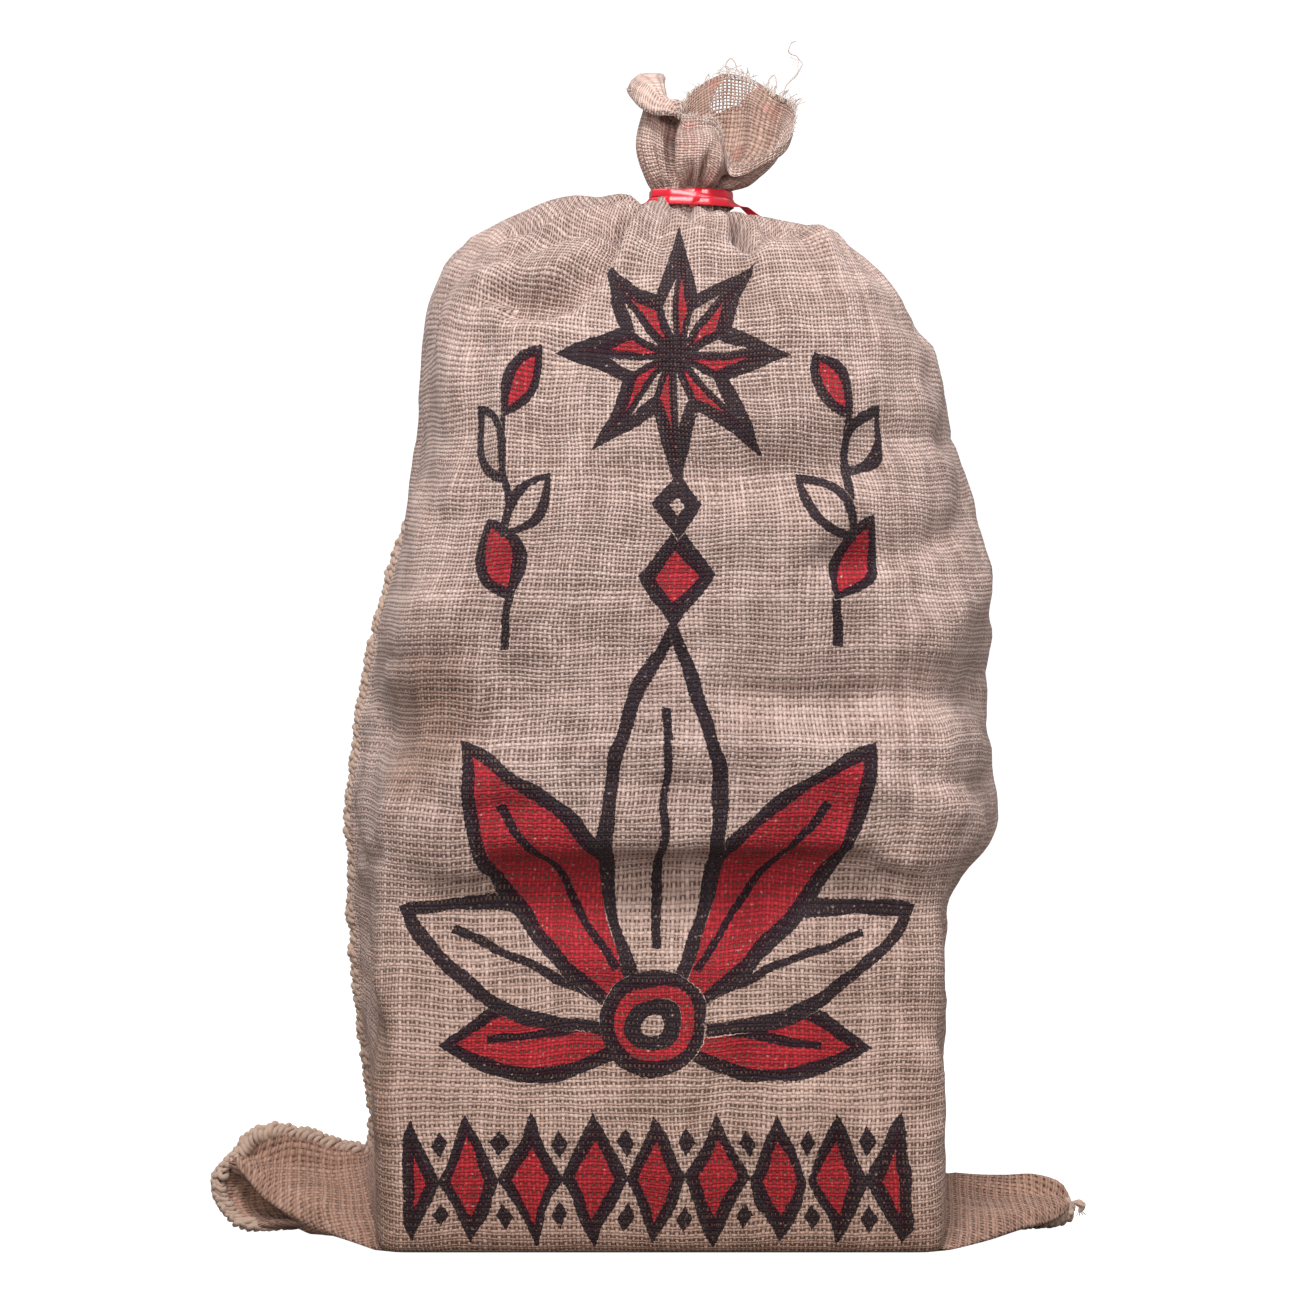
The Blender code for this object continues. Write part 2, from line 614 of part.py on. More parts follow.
def skin(loops_of_points, start_cap=True):
    """Join loops of points, one to the next, into a closed skin of triangles facing out."""
    mesh = bmesh.new()
    loops = [add_loop(mesh, points) for points in loops_of_points]
    for near, far in zip(loops, loops[1:], strict=False):
        bmesh.ops.bridge_loops(mesh, edges=near + far)
    if start_cap:
        bmesh.ops.contextual_create(mesh, geom=loops[0])
    bmesh.ops.contextual_create(mesh, geom=loops[-1])
    bmesh.ops.remove_doubles(mesh, verts=mesh.verts, dist=MERGE)
    bmesh.ops.dissolve_degenerate(mesh, edges=mesh.edges, dist=MERGE)
    bmesh.ops.triangulate(mesh, faces=mesh.faces)
    bmesh.ops.recalc_face_normals(mesh, faces=mesh.faces)
    return mesh


def make_cloth(cloth):
    """The filled body, its ears, its neck and the thin-walled ruff, as one solid."""
    rings = cloth["rings"]
    inner = rings - outward(rings) * WALL
    cup = inner[::-1][: cloth["ruff_rings"] - 2]
    finish("sack_cloth", skin([*rings, *cup], start_cap=False), JUTE)


def tail_stations(cloth, rows):
    """Lay one free end of the ribbon along the top of the sack, from the tie to its tip."""
    path = {"step": np.linspace(0, 1, len(rows["up"])), **rows}
    stations = []
    for step in np.linspace(0, 1, TAIL_STEPS):
        across, up, stand = (float(curve(path, name, step)) for name in ("across", "up", "stand"))
        stations.append(on_cloth(cloth, across, up, stand))
    return stations


def make_ribbon(cloth):
    """One length of ribbon: a free end, a little over two turns round the neck, a free end."""
    inner = NECK_REACH + PLEAT_DEPTH + GAP + RIBBON_THICK / 2
    stations = tail_stations(cloth, LEFT_TAIL)[::-1]
    for step in range(int(TURNS * TURN_STEPS) + 1):
        turns = step / TURN_STEPS
        angle = math.radians(LEAVES_AT + 360 * turns)
        way_out = np.array([math.cos(angle), math.sin(angle), 0.0])
        place = way_out * (inner + turns * (RIBBON_THICK + TURN_GAP))
        place += np.array([NECK_X, 0, RIBBON_HIGH - RIBBON_DROP * turns])
        stations.append((place, way_out))
    stations += tail_stations(cloth, RIGHT_TAIL)
    loops = []
    for index, (place, way_out) in enumerate(stations):
        before = stations[max(index - 1, 0)][0]
        after = stations[min(index + 1, len(stations) - 1)][0]
        along = (after - before) / np.linalg.norm(after - before)
        side = np.cross(way_out, along)
        side *= RIBBON_WIDE / 2 / np.linalg.norm(side)
        thick = np.cross(along, side)
        thick *= RIBBON_THICK / 2 / np.linalg.norm(thick)
        outer, inner_side = place + thick, place - thick
        loops.append([outer + side, outer - side, inner_side - side, inner_side + side])
    finish("ribbon_tie", skin(loops), RIBBON)


def make_strand(name, root, steps, thickness, material, fullness=None):
    """A loose end of yarn or twine: a thin tube along a smooth curve through its own points."""
    knots = np.arange(len(steps), dtype=float)
    path = {"knot": knots, **dict(zip("xyz", np.array(steps, float).T, strict=True))}
    places = np.linspace(0, knots[-1], STRAND_STEPS * (len(steps) - 1) + 1)
    line = root + point(path, places)
    along = np.gradient(line, axis=0)
    along /= np.linalg.norm(along, axis=1, keepdims=True)
    radii = thickness / 2 * np.interp(places, knots, fullness or np.ones(len(steps)))
    side = np.array([0.0, 1.0, 0.0])
    loops = []
    for place, way, radius in zip(line, along, radii, strict=True):
        side = side - way * (side @ way)
        side /= np.linalg.norm(side)
        other = np.cross(way, side)
        loops.append([place + radius * corner for corner in (side, other, -side, -other)])
    finish(name, skin(loops), material)


def yarn_root(cloth, across, clear):
    """Find where a loose yarn starts, just clear of the crest of the ruff."""
    outer, way_out = on_cloth(cloth, across, RUFF_UP + CREST * (TALL - RUFF_UP))
    inner = outer - way_out * WALL
    root = (outer + inner) / 2
    root[2] = max(outer[2], inner[2]) + clear
    return root


def make_yarns(cloth):
    """The frayed loops and the one long curly yarn at the mouth."""
    for name, (start_at, end_at, clear, right, back, up) in LOOPS.items():
        start = yarn_root(cloth, start_at, clear)
        end = yarn_root(cloth, end_at, clear) - start
        crown = end / 2 + np.array([right, back, up])
        rising = crown / 2 - LOOP_BULGE * end
        falling = (crown + end) / 2 + LOOP_BULGE * end
        make_strand(name, start, (0 * end, rising, crown, falling, end), YARN_THICK, JUTE)
    root = yarn_root(cloth, LONG_YARN_AT, LONG_YARN_CLEAR)
    make_strand("yarn_long", root, LONG_YARN, YARN_THICK, JUTE)


def make_twine_tail(cloth):
    """The knotted end of the seam's twine, at the tip of the right ear."""
    tip, _ = on_cloth(cloth, HALF, 0)
    root = tip + np.array(TWINE_ROOT)
    make_strand("twine_tail", root, TWINE_TAIL, TWINE_THICK, TWINE, TWINE_KNOT)


def finish_of(name, colour, roughness):
    """Make a plain material for one kind of piece."""
    made = bpy.data.materials.new(name)
    made.use_nodes = True
    shader = made.node_tree.nodes["Principled BSDF"]
    shader.inputs["Base Color"].default_value = (*colour, 1)
    shader.inputs["Roughness"].default_value = roughness
    shader.inputs["Metallic"].default_value = 0
    return made


def finish(name, mesh, material):
    """Turn a finished bmesh into a named object with its material, shaded smooth."""
    data = bpy.data.meshes.new(name)
    mesh.to_mesh(data)
    mesh.free()
    data.materials.append(material)
    data.shade_smooth()
    data.set_sharp_from_angle(angle=math.radians(50))
    made = bpy.data.objects.new(name, data)
    bpy.context.scene.collection.objects.link(made)


for old in list(bpy.data.objects):
    bpy.data.objects.remove(old, do_unlink=True)

JUTE = finish_of("jute cloth", (0.35, 0.22, 0.17), 0.9)
TWINE = finish_of("jute twine", (0.42, 0.28, 0.21), 0.85)
RIBBON = finish_of("red ribbon", (0.62, 0.02, 0.05), 0.25)

cloth = make_rings()
make_cloth(cloth)
make_ribbon(cloth)
make_yarns(cloth)
make_twine_tail(cloth)
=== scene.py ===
"""The looks of a filled burlap sack, tied shut with a ribbon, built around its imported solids.

Metres, +Z up, the front facing -Y. A place on the cloth is given as `across`, which runs round the
flat cloth from the sewn edge, over the front, past the folded edge and back over the rear, and as
`up`, which runs from the bottom seam to the mouth.
"""

import math

import bmesh
import bpy
import numpy as np
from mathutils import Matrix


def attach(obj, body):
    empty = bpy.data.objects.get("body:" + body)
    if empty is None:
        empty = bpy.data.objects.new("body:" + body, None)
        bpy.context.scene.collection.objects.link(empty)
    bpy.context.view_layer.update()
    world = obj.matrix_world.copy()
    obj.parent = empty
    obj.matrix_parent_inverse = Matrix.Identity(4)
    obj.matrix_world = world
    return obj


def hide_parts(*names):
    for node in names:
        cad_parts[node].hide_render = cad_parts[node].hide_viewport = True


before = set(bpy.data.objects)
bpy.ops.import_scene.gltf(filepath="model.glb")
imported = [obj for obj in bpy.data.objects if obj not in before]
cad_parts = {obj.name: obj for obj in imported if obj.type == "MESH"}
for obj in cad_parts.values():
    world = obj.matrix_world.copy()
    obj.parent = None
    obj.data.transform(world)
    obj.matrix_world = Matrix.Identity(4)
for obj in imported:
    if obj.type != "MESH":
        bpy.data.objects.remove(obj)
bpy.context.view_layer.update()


# ---------------------------------------------------------------------------------------------
# The sack cloth: one cut of coarse jute, folded at the right and sewn down the left and along the
# bottom. It lies tight on the boxes inside it, its bottom corners stick out as ears, and it is
# gathered to a neck and opens again above the tie. It is made on a grid of flat cloth places.
ROUND = 1.20  # once round the sack
HALF = ROUND / 2  # from the sewn edge to the folded edge
TALL = 1.00  # bottom seam to mouth
THICK = 0.0012
THIN_RUFF = ((0.93, 0.96), (1.0, 0.3))  # the share of that thickness, by height, in the ruff
EAR = 0.103  # each bottom corner is folded out along a line this far in, both ways
CORNER = 0.109  # from a side edge of the cloth to the nearest corner of the body
SHOULDER_UP = 0.655  # the cloth leaves the walls here and turns in over the top
NECK_UP = 0.884  # it reaches the gathered neck here
RUFF_UP = 0.904  # it leaves the tie here and opens again
NECK_X = 0.0285
NECK_REACH = 0.0260
NECK_LOW = 0.699
NECK_HIGH = 0.7165

SIDE_STEPS = 24  # grid steps from a side edge to a body corner
FACE_STEPS = 78  # and across the front or the rear
TURN_STEPS = 3.06  # grid steps here for each step in which a corner's softness is given
SHOULDER_STEPS = 80  # fine steps along a shoulder, to measure its length by


def table(columns, *rows):
    """Give each named column of a short table as an array."""
    return dict(zip(columns.split(), np.array(rows, float).T, strict=True))


# How many rows of the grid each stretch of the cloth gets.
STRETCHES = (
    (0.000, EAR, 16),
    (EAR, 0.160, 12),
    (0.160, SHOULDER_UP, 84),
    (SHOULDER_UP, NECK_UP, 38),
    (NECK_UP, RUFF_UP, 5),
    (RUFF_UP, TALL, 30),
)

# The sewn edge, from the tip of the left ear, along the ear's ridge and up the left side.
SEWN_EDGE = table(
    "up x y z",
    (0.000, -0.287, -0.018, 0.053),
    (0.010, -0.280, -0.012, 0.062),
    (0.030, -0.262, 0.000, 0.0665),
    (0.060, -0.238, 0.005, 0.063),
    (0.085, -0.215, 0.008, 0.055),
    (0.105, -0.200, 0.010, 0.0535),
    (0.125, -0.191, 0.012, 0.060),
    (0.165, -0.189, 0.010, 0.090),
    (0.215, -0.196, 0.004, 0.130),
    (0.265, -0.202, 0.000, 0.170),
    (0.355, -0.206, 0.000, 0.248),
    (0.425, -0.203, 0.000, 0.316),
    (0.500, -0.197, 0.000, 0.391),
    (0.548, -0.184, 0.000, 0.437),
    (0.595, -0.171, 0.000, 0.484),
    (0.640, -0.160, 0.000, 0.529),
    (0.660, -0.1585, 0.000, 0.549),
)

# The folded edge, from the tip of the right ear up the right side.
FOLDED_EDGE = table(
    "up x y z",
    (0.000, 0.2905, -0.008, 0.021),
    (0.014, 0.285, -0.003, 0.032),
    (0.034, 0.268, 0.000, 0.0385),
    (0.060, 0.245, 0.002, 0.038),
    (0.085, 0.222, 0.003, 0.0385),
    (0.104, 0.206, 0.003, 0.041),
    (0.125, 0.201, 0.003, 0.052),
    (0.165, 0.202, 0.002, 0.080),
    (0.225, 0.2035, 0.000, 0.128),
    (0.300, 0.2045, 0.000, 0.193),
    (0.338, 0.2065, 0.000, 0.231),
    (0.356, 0.218, 0.000, 0.248),
    (0.378, 0.237, 0.000, 0.267),
    (0.405, 0.2445, 0.000, 0.294),
    (0.435, 0.2415, 0.000, 0.324),
    (0.465, 0.2375, 0.000, 0.353),
    (0.510, 0.2395, 0.000, 0.399),
    (0.560, 0.237, 0.000, 0.449),
    (0.600, 0.234, 0.000, 0.489),
    (0.640, 0.2215, 0.000, 0.529),
    (0.660, 0.2125, 0.000, 0.549),
)

# The bottom seam at each ear, from its tip to where it lies on the floor under the body.
LEFT_SEAM = table(
    "across x y z",
    (0.000, -0.287, -0.018, 0.053),
    (0.012, -0.296, -0.020, 0.045),
    (0.028, -0.2995, -0.020, 0.034),
    (0.046, -0.294, -0.022, 0.019),
    (0.064, -0.281, -0.025, 0.008),
    (0.078, -0.267, -0.026, 0.005),
    (0.110, -0.238, -0.018, 0.0065),
    (0.150, -0.190, 0.000, 0.000),
)
RIGHT_SEAM = table(
    "across x y z",
    (0.000, 0.2905, -0.008, 0.021),
    (0.012, 0.291, -0.012, 0.013),
    (0.026, 0.283, -0.014, 0.007),
    (0.050, 0.260, -0.014, 0.005),
    (0.110, 0.200, -0.004, 0.000),
    (0.150, 0.160, 0.000, 0.000),
)

# The folded front and rear edges of each ear, from its tip to the body's bottom corner.
LEFT_EAR_FRONT = table(
    "up x y z",
    (0.000, -0.287, -0.018, 0.053),
    (0.010, -0.278, -0.030, 0.044),
    (0.030, -0.263, -0.037, 0.028),
    (0.045, -0.250, -0.040, 0.019),
    (0.060, -0.232, -0.048, 0.0125),
    (0.080, -0.207, -0.076, 0.006),
    (0.103, -0.178, -0.102, 0.000),
)
LEFT_EAR_REAR = table(
    "up x y z",
    (0.000, -0.287, -0.018, 0.053),
    (0.015, -0.283, 0.004, 0.037),
    (0.035, -0.266, 0.024, 0.018),
    (0.060, -0.238, 0.050, 0.007),
    (0.080, -0.210, 0.075, 0.002),
    (0.103, -0.178, 0.102, 0.000),
)
RIGHT_EAR_FRONT = table(
    "up x y z",
    (0.000, 0.2905, -0.008, 0.021),
    (0.012, 0.284, -0.022, 0.015),
    (0.030, 0.270, -0.036, 0.010),
    (0.050, 0.253, -0.050, 0.0085),
    (0.075, 0.226, -0.080, 0.005),
    (0.103, 0.194, -0.102, 0.000),
)
RIGHT_EAR_REAR = table(
    "up x y z",
    (0.000, 0.2905, -0.008, 0.021),
    (0.015, 0.286, 0.014, 0.013),
    (0.040, 0.266, 0.038, 0.006),
    (0.070, 0.234, 0.070, 0.002),
    (0.103, 0.194, 0.102, 0.000),
)

# Level sections of the body: where its corners stand, how far the front and the rear stand out
# between them, and how softly the corners are turned.
BODY = table(
    "up z left right front rear front_crown rear_crown softness",
    (0.103, 0.0000, -0.178, 0.194, -0.102, 0.102, 0.000, 0.000, 0.5),
    (0.109, 0.0022, -0.180, 0.195, -0.1055, 0.1055, 0.001, 0.001, 0.6),
    (0.117, 0.0085, -0.181, 0.196, -0.107, 0.107, 0.002, 0.003, 0.8),
    (0.140, 0.0310, -0.182, 0.197, -0.107, 0.108, 0.003, 0.006, 0.9),
    (0.200, 0.0910, -0.184, 0.197, -0.107, 0.108, 0.004, 0.010, 0.9),
    (0.300, 0.1910, -0.181, 0.198, -0.105, 0.108, 0.004, 0.012, 0.9),
    (0.345, 0.2360, -0.181, 0.200, -0.103, 0.110, 0.004, 0.013, 1.0),
    (0.378, 0.2680, -0.181, 0.206, -0.112, 0.114, 0.012, 0.014, 1.2),
    (0.430, 0.3200, -0.178, 0.209, -0.116, 0.118, 0.016, 0.015, 1.5),
    (0.500, 0.3900, -0.173, 0.208, -0.117, 0.122, 0.018, 0.017, 1.8),
    (0.560, 0.4500, -0.161, 0.203, -0.119, 0.124, 0.021, 0.020, 2.2),
    (0.620, 0.5100, -0.150, 0.194, -0.119, 0.124, 0.023, 0.021, 2.6),
    (0.660, 0.5500, -0.145, 0.186, -0.116, 0.122, 0.023, 0.021, 3.0),
)

# How squarely each side of the top turns in to the neck: 2 is a round shoulder, 3 a square one.
TOP = table(
    "angle square",
    (0, 1.95),
    (60, 2.40),
    (120, 2.80),
    (180, 4.00),
    (225, 3.20),
    (270, 3.10),
    (315, 2.60),
    (360, 1.95),
)

# The ruff, by direction from the middle of the neck: how far out it bellies, its throat and its
# top, how high the top stands over the tie, and how far its edge is folded out and down again.
CREST = 0.90  # the share of the ruff's cloth below its crest, where its lip begins
RIM = 0.0065  # how far the cloth stands up past its crest where it has no lip
RUFF = table(
    "angle belly throat top height lip drop",
    (0, 0.059, 0.067, 0.072, 0.057, 0.001, 0),
    (14, 0.057, 0.064, 0.070, 0.065, 0.001, 0),
    (28, 0.054, 0.060, 0.064, 0.073, 0.001, 0),
    (44, 0.049, 0.054, 0.057, 0.084, 0.001, 0),
    (57, 0.045, 0.049, 0.051, 0.088, 0.001, 0),
    (74, 0.042, 0.044, 0.045, 0.083, 0.001, 0),
    (88, 0.040, 0.041, 0.042, 0.075, 0.001, 0),
    (102, 0.038, 0.038, 0.038, 0.063, 0.001, 0),
    (120, 0.037, 0.035, 0.035, 0.062, 0.001, 0),
    (145, 0.038, 0.034, 0.031, 0.071, 0.006, 0.004),
    (168, 0.038, 0.032, 0.026, 0.0805, 0.016, 0.010),
    (190, 0.038, 0.032, 0.025, 0.0810, 0.0195, 0.0120),
    (210, 0.038, 0.034, 0.028, 0.0760, 0.0190, 0.0150),
    (228, 0.036, 0.035, 0.032, 0.0680, 0.0160, 0.0170),
    (246, 0.031, 0.034, 0.037, 0.0530, 0.0080, 0.0075),
    (262, 0.042, 0.043, 0.042, 0.0460, 0.001, 0),
    (280, 0.047, 0.048, 0.044, 0.0455, 0.001, 0),
    (296, 0.044, 0.045, 0.042, 0.0405, 0.001, 0),
    (309, 0.036, 0.041, 0.043, 0.0140, 0.001, 0),
    (318, 0.040, 0.048, 0.051, 0.0150, 0.001, 0),
    (327, 0.044, 0.053, 0.058, 0.0210, 0.001, 0),
    (343, 0.054, 0.064, 0.069, 0.0330, 0.001, 0),
    (360, 0.059, 0.067, 0.072, 0.0570, 0.001, 0),
)

# Creases, each a soft trough (or a ridge, where its depth is negative) that bends through three
# places on the cloth, and how far its slopes reach above and below its line.
CREASES = table(
    "across up by_across by_up to_across to_up depth above below",
    # the front, where one parcel ends and the next begins
    (0.195, 0.358, 0.300, 0.357, 0.430, 0.360, 0.0150, 0.014, 0.036),
    (0.190, 0.370, 0.310, 0.372, 0.425, 0.371, 0.0030, 0.003, 0.006),
    (0.060, 0.462, 0.120, 0.458, 0.190, 0.470, 0.0150, 0.038, 0.026),
    (0.070, 0.508, 0.125, 0.509, 0.172, 0.512, 0.0035, 0.003, 0.006),
    (0.345, 0.478, 0.420, 0.474, 0.565, 0.486, 0.0130, 0.024, 0.016),
    (0.350, 0.486, 0.400, 0.481, 0.450, 0.484, 0.0030, 0.004, 0.006),
    (0.320, 0.628, 0.378, 0.628, 0.436, 0.636, 0.0100, 0.018, 0.016),
    (0.405, 0.566, 0.468, 0.575, 0.540, 0.600, 0.0070, 0.014, 0.009),
    (0.450, 0.431, 0.510, 0.422, 0.585, 0.424, 0.0065, 0.008, 0.008),
    # soft ridges over the parcels' edges
    (0.370, 0.450, 0.440, 0.424, 0.525, 0.388, -0.0070, 0.016, 0.018),
    (0.465, 0.520, 0.520, 0.545, 0.565, 0.560, -0.0050, 0.018, 0.018),
    (0.315, 0.590, 0.370, 0.586, 0.420, 0.604, -0.0050, 0.018, 0.018),
    (0.300, 0.662, 0.350, 0.660, 0.420, 0.672, -0.0040, 0.020, 0.018),
    (0.090, 0.190, 0.300, 0.187, 0.500, 0.189, -0.0020, 0.005, 0.007),
    (0.143, 0.700, 0.147, 0.610, 0.170, 0.528, 0.0070, 0.016, 0.018),
    (0.205, 0.470, 0.228, 0.560, 0.236, 0.660, -0.0050, 0.026, 0.026),
    (0.110, 0.535, 0.150, 0.548, 0.185, 0.535, -0.0040, 0.018, 0.016),
    # small wrinkles
    (0.200, 0.292, 0.250, 0.286, 0.290, 0.294, 0.0022, 0.006, 0.007),
    (0.130, 0.330, 0.165, 0.318, 0.190, 0.296, 0.0028, 0.007, 0.007),
    (0.440, 0.330, 0.470, 0.300, 0.480, 0.250, 0.0028, 0.007, 0.008),
    (0.128, 0.420, 0.160, 0.404, 0.215, 0.408, 0.0030, 0.006, 0.008),
    (0.455, 0.660, 0.500, 0.648, 0.545, 0.655, 0.0038, 0.008, 0.008),
    (0.440, 0.705, 0.480, 0.690, 0.530, 0.690, 0.0035, 0.008, 0.010),
    (0.235, 0.520, 0.275, 0.508, 0.325, 0.514, 0.0030, 0.007, 0.008),
    (0.255, 0.430, 0.300, 0.420, 0.350, 0.428, 0.0032, 0.008, 0.009),
    (0.080, 0.620, 0.100, 0.600, 0.130, 0.596, 0.0032, 0.008, 0.008),
    (0.060, 0.300, 0.085, 0.280, 0.105, 0.240, 0.0035, 0.009, 0.009),
    (0.020, 0.390, 0.050, 0.370, 0.095, 0.372, 0.0040, 0.008, 0.010),
    (0.520, 0.330, 0.550, 0.315, 0.590, 0.322, 0.0040, 0.008, 0.010),
    (0.505, 0.250, 0.540, 0.225, 0.580, 0.225, 0.0040, 0.010, 0.010),
    # the rear
    (0.740, 0.372, 0.850, 0.374, 0.960, 0.366, 0.0120, 0.012, 0.030),
    (0.820, 0.520, 0.940, 0.522, 1.070, 0.545, 0.0130, 0.020, 0.024),
    (0.730, 0.600, 0.790, 0.628, 0.850, 0.640, 0.0100, 0.020, 0.018),
    (0.900, 0.690, 0.980, 0.676, 1.050, 0.640, 0.0090, 0.020, 0.020),
    (0.700, 0.450, 0.760, 0.452, 0.820, 0.440, 0.0070, 0.012, 0.014),
    (0.930, 0.250, 1.000, 0.262, 1.060, 0.250, 0.0040, 0.010, 0.010),
    (0.780, 0.270, 0.830, 0.250, 0.870, 0.200, 0.0040, 0.010, 0.010),
    (0.870, 0.440, 0.910, 0.420, 0.960, 0.425, 0.0040, 0.009, 0.010),
    (1.080, 0.400, 1.110, 0.380, 1.150, 0.385, 0.0050, 0.009, 0.012),
)

# Folds that run in to the tie over the top of the sack, in the same columns.
TOP_CREASES = table(
    "across up by_across by_up to_across to_up depth above below",
    # the front panel's top edge, which folds over a shaded valley
    (0.288, 0.838, 0.356, 0.806, 0.472, 0.820, 0.0140, 0.024, 0.008),
    (0.290, 0.812, 0.355, 0.780, 0.470, 0.794, -0.0050, 0.008, 0.014),
    (0.360, 0.790, 0.380, 0.838, 0.402, 0.880, 0.0260, 0.010, 0.011),
    # the left ridge, and the two creases that leave it over the left shoulder
    (0.238, 0.858, 0.245, 0.820, 0.252, 0.778, -0.0085, 0.010, 0.012),
    (0.234, 0.842, 0.226, 0.752, 0.160, 0.728, 0.0230, 0.026, 0.0060),
    (0.222, 0.812, 0.165, 0.783, 0.090, 0.750, 0.0080, 0.012, 0.008),
    (0.222, 0.775, 0.180, 0.757, 0.120, 0.748, -0.0050, 0.012, 0.010),
    (0.270, 0.870, 0.272, 0.820, 0.282, 0.775, 0.0050, 0.008, 0.008),
    (0.312, 0.858, 0.318, 0.842, 0.326, 0.828, -0.0025, 0.010, 0.010),
    # the right shoulder
    (0.402, 0.800, 0.425, 0.835, 0.440, 0.880, 0.0060, 0.010, 0.016),
    (0.432, 0.770, 0.440, 0.820, 0.440, 0.870, -0.0050, 0.016, 0.016),
    (0.460, 0.735, 0.488, 0.727, 0.518, 0.720, 0.0045, 0.008, 0.008),
    (0.490, 0.770, 0.478, 0.820, 0.462, 0.870, 0.0070, 0.012, 0.012),
    (0.540, 0.730, 0.524, 0.800, 0.500, 0.860, 0.0080, 0.016, 0.014),
    # the left shoulder, up to the tie
    (0.100, 0.800, 0.150, 0.850, 0.215, 0.880, 0.0120, 0.014, 0.016),
    (0.060, 0.720, 0.076, 0.765, 0.100, 0.800, 0.0080, 0.014, 0.014),
    (0.040, 0.835, 0.068, 0.856, 0.104, 0.866, -0.0150, 0.024, 0.026),
    (0.205, 0.845, 0.216, 0.860, 0.225, 0.876, -0.0050, 0.024, 0.024),
    (0.150, 0.800, 0.170, 0.830, 0.205, 0.860, -0.0060, 0.012, 0.012),
    (0.020, 0.760, 0.030, 0.810, 0.060, 0.860, 0.0070, 0.012, 0.012),
    # the rear
    (0.590, 0.760, 0.600, 0.820, 0.620, 0.870, 0.0060, 0.012, 0.012),
    (0.640, 0.740, 0.646, 0.820, 0.660, 0.880, 0.0100, 0.018, 0.018),
    (0.700, 0.750, 0.700, 0.820, 0.705, 0.870, 0.0060, 0.012, 0.014),
    (0.760, 0.760, 0.752, 0.820, 0.750, 0.880, 0.0120, 0.018, 0.020),
    (0.810, 0.740, 0.812, 0.800, 0.805, 0.870, 0.0060, 0.012, 0.012),
    (0.860, 0.720, 0.864, 0.800, 0.860, 0.880, 0.0140, 0.018, 0.020),
    (0.910, 0.760, 0.912, 0.820, 0.905, 0.870, 0.0060, 0.012, 0.012),
    (0.960, 0.760, 0.962, 0.820, 0.955, 0.880, 0.0110, 0.018, 0.018),
    (1.020, 0.740, 1.018, 0.810, 1.005, 0.870, 0.0070, 0.014, 0.012),
    (1.070, 0.740, 1.068, 0.820, 1.060, 0.880, 0.0130, 0.018, 0.020),
    (1.130, 0.760, 1.128, 0.820, 1.120, 0.870, 0.0070, 0.012, 0.012),
)

# Folds in the ruff, which stand up from the tie: where each one starts and ends round the cloth, how
# wide and deep it is, and how far up it runs.
RUFF_FOLDS = table(
    "low high wide depth top",
    (0.060, 0.050, 0.016, 0.0040, 0.975),
    (0.110, 0.120, 0.014, -0.0030, 0.985),
    (0.150, 0.140, 0.012, 0.0045, 0.950),
    (0.180, 0.176, 0.012, -0.0030, 0.985),
    (0.213, 0.226, 0.017, 0.0105, 1.010),
    (0.262, 0.270, 0.016, -0.0035, 0.990),
    (0.300, 0.300, 0.010, 0.0035, 0.940),
    (0.330, 0.376, 0.012, 0.0065, 0.960),
    (0.372, 0.400, 0.012, -0.0035, 0.965),
    (0.432, 0.470, 0.018, 0.0090, 0.965),
    (0.480, 0.520, 0.014, -0.0035, 0.985),
    (0.530, 0.560, 0.012, 0.0050, 0.970),
    (0.600, 0.610, 0.014, 0.0045, 0.980),
    (0.650, 0.680, 0.016, -0.0045, 1.010),
    (0.710, 0.728, 0.014, 0.0055, 1.000),
    (0.770, 0.775, 0.016, -0.0040, 1.010),
    (0.830, 0.822, 0.016, 0.0060, 1.000),
    (0.890, 0.900, 0.014, -0.0040, 0.990),
    (0.950, 0.940, 0.018, 0.0070, 1.000),
    (1.010, 1.030, 0.014, -0.0035, 1.000),
    (1.070, 1.060, 0.016, 0.0060, 0.990),
    (1.130, 1.140, 0.014, 0.0040, 0.990),
)

BEND_STEPS = 6  # straight steps along a crease's bent line
CREASES_FADE = 0.02  # creases die away over this much cloth at the neck and at the ears
FOLDS_SPREAD = (0.8, 0.7)  # a ruff fold's share of its width at the tie, and what that gains upwards
FOLDS_RISE = (0.35, 5)  # and its share of its depth there, and how fast that gains
FOLDS_FADE = 0.025  # it dies away over this much cloth below its top

# The hollow under each ear's front edge, where the corner of the cloth curls over, with the reach of
# cloth that it takes up, and how softly it starts and ends.
EAR_HOLLOW = 0.0190
RIGHT_EAR_SHARE = 0.55  # the right ear's shapes are this share as deep
HOLLOW_START, HOLLOW_END, HOLLOW_FADE = 0.016, 0.112, 0.060
# The top of an ear: a groove beside the seam's rim, and the rolled fold below it, each with its
# depth, and its middle and width as shares of the way over. Both die away at the tip and the body.
EAR_ROLLS = ((0.0075, 0.30, 0.16), (-0.0055, 0.78, 0.18))
TIP_FADE, BODY_FADE = 0.02, 0.03

# Pleats gathered into the tie: how many go round, how deep, and how far they run on each side.
PLEATS = table(
    "times_round depth start",
    (23, 0.0019, 0.0),
    (14, 0.0012, 1.7),
    (37, 0.0006, 0.6),
)
PLEATS_IN = 0.0016  # how far in their middles lie
PLEATS_ABOVE = 0.045
PLEATS_BELOW = 0.075
PLEAT_DRIFT = 0.8  # how unevenly they are spaced

